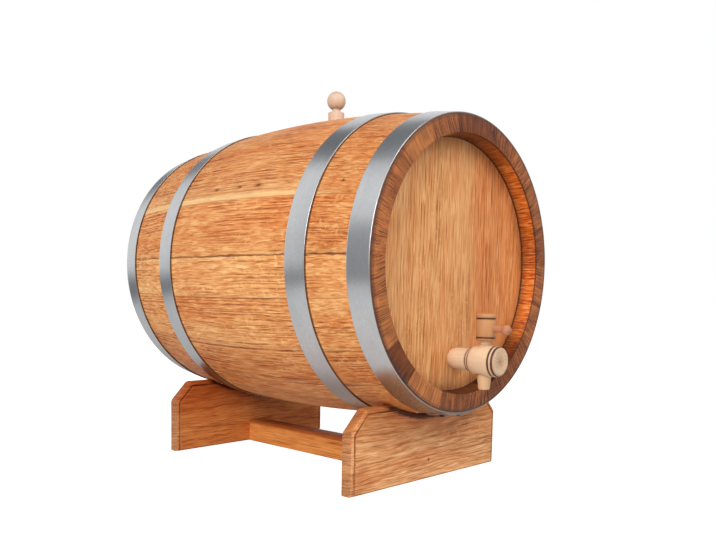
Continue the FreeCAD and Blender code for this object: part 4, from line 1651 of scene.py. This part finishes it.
@dataclass
class Studio:
    """Plain pale floor, white surroundings, soft lamps, and dark flags that only reflections see."""

    floor_size: float = 14.0
    sky_level: float = 0.40
    floor_colour: Colour = (0.72, 0.72, 0.72)
    floor_glow: float = 0.80
    floor_gleam: float = 0.18
    lamp_aim: Triple = (0.0, 0.0, 0.2)
    lamps: tuple[Lamp, ...] = (Lamp("key_softbox", (-2.15, -1.0, 1.45), 1.3, 45.0),
                               Lamp("front_softbox", (0.3, -1.7, 2.0), 1.1, 21.0))
    flags: tuple[Flag, ...] = (Flag("rear_low_flag", 77.0, 26.5, (8.0, 11.5)),
                               Flag("rear_middle_flag", 73.0, 45.5, (10.0, 8.0)),
                               Flag("rear_high_flag", 71.0, 63.0, (21.0, 12.0)),
                               Flag("side_flag", 158.0, 12.0, (8.5, 14.5)))
    flag_middle: Triple = (-0.10, -0.05, 0.22)
    flag_colour: Colour = (0.88, 0.94, 1.0)
    flag_level: float = 0.2
    ring_reach: Point = (1.05, 2.9)
    ring_lift: float = 2.0 * MM

    def build(self) -> None:
        """Make the floor, the world, the lamps and the flags."""
        self._staged("floor", self._square(self.floor_size / 2), self._floor_finish())
        self._world()
        for lamp in self.lamps:
            light = bpy.data.lights.new(lamp.name, "AREA")
            light.size, light.energy = lamp.size, lamp.power
            made = linked(lamp.name, light)
            made.location = lamp.place
            made.rotation_mode = "QUATERNION"
            made.rotation_quaternion = (Vector(self.lamp_aim) - Vector(lamp.place)).to_track_quat("-Z", "Y")
        self._flags()

    @staticmethod
    def _square(half: float) -> Mesh:
        """A flat square about the origin.

        Args:
            half: Half its side.

        Returns:
            The mesh.
        """
        mesh = bmesh.new()
        bmesh.ops.create_grid(mesh, x_segments=1, y_segments=1, size=half)
        return mesh

    @staticmethod
    def _staged(name: str, mesh: Mesh, finish: bpy.types.Material) -> bpy.types.Object:
        """Make one thing that isn't part of the object.

        Args:
            name: Its name.
            mesh: Its mesh; it is used up.
            finish: Its material.

        Returns:
            The new object.
        """
        made = linked(name, as_data(name, mesh))
        made.data.materials.append(finish)
        return made

    def _flags(self) -> None:
        """Dark panels and a dark ring on the floor, which shade the steel as a dim room does."""
        material, graph = new_material("studio_flag")
        glow = graph.node("ShaderNodeEmission", None, {"Color": self.flag_colour, "Strength": self.flag_level})
        graph.node("ShaderNodeOutputMaterial", None, {"Surface": glow})
        ring = bmesh.new()
        bmesh.ops.create_cone(ring, cap_ends=False, segments=64, radius1=self.ring_reach[1],
                              radius2=self.ring_reach[0], depth=1.0 * MM)
        ring.transform(Matrix.Translation((0.0, 0.0, self.ring_lift)))
        made = [self._staged("floor_flag", ring, material)]
        for flag in self.flags:
            panel = self._square(1.0)
            turn, tilt = math.radians(flag.azimuth), math.radians(flag.elevation)
            way = Vector((math.cos(turn) * math.cos(tilt), math.sin(turn) * math.cos(tilt), math.sin(tilt)))
            half = [flag.distance * math.tan(math.radians(angle)) for angle in flag.reach]
            panel.transform(Matrix.Translation(self.flag_middle) @ Matrix.Translation(way * flag.distance)
                            @ (-way).to_track_quat("Z", "Y").to_matrix().to_4x4()
                            @ Matrix.Diagonal((*half, 1.0, 1.0)))
            made.append(self._staged(flag.name, panel, material))
        for item in made:
            item.visible_camera = item.visible_diffuse = item.visible_shadow = False
            item.visible_transmission = item.visible_volume_scatter = False

    @staticmethod
    def _seen_by(graph: Graph, kind: str) -> Wire:
        """1 for one kind of ray."""
        return graph.node("ShaderNodeLightPath", output="Is %s Ray" % kind)

    def _floor_finish(self) -> bpy.types.Material:
        """White floor that keeps a soft shadow.

        Returns:
            The material.
        """
        material, graph = new_material("studio_floor")
        straight = self._seen_by(graph, "Camera") + self._seen_by(graph, "Transmission")
        seen = straight * self.floor_glow + self._seen_by(graph, "Glossy") * self.floor_gleam
        surface = graph.node("ShaderNodeAddShader", None, {
            0: graph.node("ShaderNodeBsdfDiffuse", None, {"Color": self.floor_colour}),
            1: graph.node("ShaderNodeEmission", None, {"Color": (1.0, 1.0, 1.0), "Strength": seen})})
        graph.node("ShaderNodeOutputMaterial", None, {"Surface": surface})
        return material

    def _world(self) -> None:
        """White to the eye and to reflections, and a plain grey light on everything."""
        world = bpy.data.worlds.new("studio")
        bpy.context.scene.world = world
        world.use_nodes = True
        graph = Graph(world.node_tree)
        seen = self._seen_by(graph, "Camera") + self._seen_by(graph, "Glossy") + self._seen_by(graph, "Transmission")
        plain, white = (graph.node("ShaderNodeBackground", None, {"Color": (1.0, 1.0, 1.0), "Strength": level})
                        for level in (self.sky_level, 1.0))
        surface = graph.node("ShaderNodeMixShader", None, {0: seen, 1: plain, 2: white})
        graph.node("ShaderNodeOutputWorld", None, {"Surface": surface})


@dataclass
class Camera:
    """The camera: where it stands, where it looks and its lens."""

    place: Triple = (-660.2 * MM, -664.1 * MM, 198.5 * MM)
    azimuth: float = -46.50
    elevation: float = 5.21
    roll: float = 1.09
    focal_pixels: float = 772.9
    centre: Point = (349.8, 363.7)
    picture: tuple[int, int] = (716, 540)
    sensor: float = 36.0
    clip: Point = (0.05, 50.0)

    def build(self) -> None:
        """Make it and set it as the scene's camera."""
        turn, tilt, roll = (math.radians(angle) for angle in (self.azimuth, self.elevation, self.roll))
        back = Vector((math.sin(turn) * math.cos(tilt), -math.cos(turn) * math.cos(tilt), math.sin(tilt)))
        right = (-back).cross(Z_AXIS).normalized()
        up = right.cross(-back)
        side = right * math.cos(roll) + up * math.sin(roll)
        head = up * math.cos(roll) - right * math.sin(roll)
        data = bpy.data.cameras.new("camera")
        width, height = self.picture
        data.sensor_width, data.lens = self.sensor, self.focal_pixels / width * self.sensor
        data.shift_x = (width / 2 - self.centre[0]) / width
        data.shift_y = (self.centre[1] - height / 2) / width
        data.clip_start, data.clip_end = self.clip
        camera = linked("camera", data)
        camera.matrix_world = Matrix.Translation(self.place) @ Matrix((side, head, back)).transposed().to_4x4()
        bpy.context.scene.camera = camera


# ---------------------------------------------------------------- finishes of this part

SHAPE = CaskShape()
HOOPS = Hoops(SHAPE)
# Gap in front of each hoop at which the painted shade line lies.
SHADE_LINE_GAP = 0.4 * MM
HOOP_FRONTS = tuple(place - HOOPS.width / 2 - SHADE_LINE_GAP for place in HOOPS.places().values())
SATIN = Sheen(roughness=0.46, roughness_spread=0.16, bump=0.4, bump_depth=0.15 * MM, specular=0.22)
BEECH_SHEEN = Sheen(roughness=0.42, roughness_spread=0.14, bump=0.22, bump_depth=0.08 * MM, specular=0.22)
# Its lines at HOOP_FRONTS are painted shade beside the hoops, and its hollow end's inner wall gets painted shade.
STAVE_OAK = Wood("stave_oak", tint(254, 207, 142), tint(224, 148, 84), tint(146, 74, 34), tint(206, 124, 68),
                 tint(84, 42, 25), ring=3.3 * MM, ring_strength=0.38, fibre_strength=0.62, pore_strength=0.26,
                 dash_strength=0.36, fleck_strength=0.5, patch_strength=0.34, sway=5.0 * MM, seam_width=1.1 * MM,
                 toasts=((-0.152, 0.016, 0.012, 0.35),), toast=tint(228, 216, 200), hoop_shade_lines=HOOP_FRONTS,
                 hollow=(SHAPE.axis_z, 133.5 * MM, SHAPE.half), sheen=SATIN,
                 marks=(Mark((-0.1466, 0.026, 0.3067), 1.1 * MM, (1.0, 2.8, 1.0)),
                        Mark((-0.1469, -0.014, 0.3067), 1.1 * MM, (1.0, 2.4, 1.0)),
                        Mark((-0.1463, -0.043, 0.3065), 1.5 * MM, (1.0, 2.4, 1.0)),
                        Mark((-0.1382, -0.156, 0.3028), 1.0 * MM, (1.0, 1.6, 1.0))))
# Its rim gets painted shadow from the chime round the edge of each head.
HEAD_OAK = Wood("head_oak", tint(240, 186, 128), tint(214, 147, 88), tint(156, 88, 42), tint(166, 100, 62),
                tint(96, 54, 34), ring=2.6 * MM, ring_strength=0.26, fibre_strength=0.72, pore_strength=0.6,
                dash_strength=0.45, fleck_strength=0.35, patch_strength=0.2, warm_strength=0.3, run=0.75,
                seam_width=0.6 * MM, end_axis=(0.0, 0.0, 1.0), rim=(SHAPE.axis_z, 133.2 * MM), sheen=SATIN)
# Its darker upper band is painted shade of the cask, and so are the band round its saddle and the dark line in its
# groove.
FRONT_STAND_OAK = Wood("front_stand_oak", tint(252, 204, 150), tint(220, 152, 96), tint(146, 82, 42),
                       tint(216, 154, 102), tint(150, 92, 54), ring=4.2 * MM, ring_strength=0.3, fibre_strength=0.5,
                       pore_strength=0.2, dash_strength=0.24, fleck_strength=0.3, patch_strength=0.5,
                       sway=14.0 * MM, seam_width=1.0 * MM, seam_colour=tint(112, 58, 30), level_axis=2,
                       contact=(SHAPE.axis_z, 159.0 * MM), toasts=((0.085, 0.010, 0.045, 0.6),),
                       toast=tint(236, 196, 150), end_axis=(1.0, 0.0, 0.0), sheen=SATIN,
                       marks=(Mark((-0.0028, -0.1604, 0.021), 0.9 * MM, (1.2, 1.0, 1.6)),
                              Mark((0.004, -0.1604, 0.0462), 0.35 * MM, (22.0, 1.0, 1.0)),
                              Mark((0.040, -0.1604, 0.0478), 0.3 * MM, (26.0, 1.0, 1.0)),
                              Mark((-0.087, -0.1604, 0.0469), 0.3 * MM, (24.0, 1.0, 1.0))))
# Its darker upper band is painted shade of the cask, and so are the band round its saddle and the dark line in its
# groove.
REAR_STAND_OAK = Wood("rear_stand_oak", tint(243, 170, 97), tint(213, 127, 63), tint(130, 64, 27),
                      tint(214, 156, 108), tint(154, 98, 60), ring=4.2 * MM, ring_strength=0.34,
                      fibre_strength=0.44, pore_strength=0.18, dash_strength=0.2, fleck_strength=0.15,
                      patch_strength=0.46, sway=18.0 * MM, seam_width=1.0 * MM, seam_colour=tint(120, 62, 30),
                      level_axis=2, contact=(SHAPE.axis_z, 160.0 * MM), toasts=((0.085, 0.006, 0.050, 0.9),),
                      toast=tint(222, 180, 140), end_axis=(1.0, 0.0, 0.0), sheen=SATIN)
# Its darker top is painted shade under the cask.
STRETCHER_OAK = Wood("stretcher_oak", tint(250, 177, 100), tint(226, 142, 69), tint(153, 80, 34),
                     tint(170, 108, 66), tint(110, 64, 38), ring=4.0 * MM, level_axis=2,
                     toasts=((0.0285, 0.0025, 0.004, 0.8),), toast=tint(158, 106, 78), sheen=SATIN)
DOWEL_BEECH = Wood("dowel_beech", tint(240, 208, 166), tint(226, 184, 138), tint(180, 130, 88),
                   tint(210, 166, 124), tint(160, 112, 76), source=Source.OBJECT, offset=(0.03, 0.0, 0.0))
RIVET_STEEL = Steel("rivet_steel", tint(62, 58, 56), tint(34, 31, 30))


def beech(name: str, body: Colour, upright: bool, **details: Any) -> Wood:
    """Turned beech: fine pale grain with small flecks.

    Args:
        name: Name of the finish.
        body: Its main colour.
        upright: Whether the grain runs along Z; otherwise it runs along Y.
        details: Its burned rings, darker bands and marks, as fields of Wood.

    Returns:
        The finish.
    """
    light = tuple(min(1.0, part * 1.16) for part in body)
    dark, end = (tuple(part * power for part, power in zip(body, powers))
                 for powers in ((0.66, 0.56, 0.48), (0.96, 0.95, 0.98)))
    return Wood(name, light, body, dark, end, dark, ring=2.2 * MM, ring_strength=0.16, fibre_strength=0.2,
                pore_strength=0.16, dash_strength=0.12, fleck_strength=0.1, patch_strength=0.2, warm_strength=0.1,
                sway=2.0 * MM, end_axis=(0.0, 0.0, 1.0) if upright else (0.0, 1.0, 0.0), source=Source.OBJECT,
                offset=(0.05, 0.3, 0.02), turn=(math.pi / 2 if upright else 0.0, 0.0, 0.0),
                level_axis=2 if upright else 1, sheen=BEECH_SHEEN, **details)


def burned(start: float, *rings: Point) -> tuple[Point, ...]:
    """(place, half width) of burned rings, given in millimetres from a start."""
    return tuple((start + place * MM, half * MM) for place, half in rings)


def main() -> None:
    """Build everything in order."""
    logging.basicConfig(level=logging.INFO, format="%(name)s: %(message)s")
    bpy.context.scene.view_settings.view_transform = "Standard"
    Camera().build()
    Studio().build()
    maker, bung, tap = Maker(), Bung(SHAPE), Tap(SHAPE)
    Staves(SHAPE).build(maker, STAVE_OAK, bung.cutter)
    Heads(SHAPE).build(maker, HEAD_OAK, tap.cutter)
    for end in ("front", "rear"):
        maker.dress_node(end + "_head_dowels", DOWEL_BEECH)
    HOOPS.build(maker, Steel(), RIVET_STEEL)
    bung.build(maker, beech("bung_beech", tint(220, 193, 170), True))
    face, axis_z = tap.front_y, tap.axis_z
    barrel = beech("barrel_beech", tint(230, 199, 165), False,
                   burns=burned(face, (2.2, 0.8), (6.2, 0.8), (32.6, 0.7), (36.0, 0.7)),
                   # A soft disc of painted shade in the middle of the dished face, then the lathe's centre mark.
                   marks=(Mark((0.0, face, axis_z), 3.2 * MM, core=0.0),
                          Mark((0.0, face + 1.2 * MM, axis_z), 0.9 * MM, core=0.3)))
    key = beech("key_beech", tint(221, 180, 139), True, burns=burned(axis_z, (23.5, 0.6), (42.8, 0.6)),
                toasts=((axis_z + 34.6 * MM, 13.4 * MM, 1.5 * MM, 0.75),))
    tap.build(maker, barrel, key, beech("lever_beech", tint(192, 132, 98), False), Cork())
    Stand(SHAPE).build(maker, FRONT_STAND_OAK, REAR_STAND_OAK, STRETCHER_OAK, DOWEL_BEECH)
    log.info("%d new pieces", maker.count)


if __name__ == "__main__":
    main()
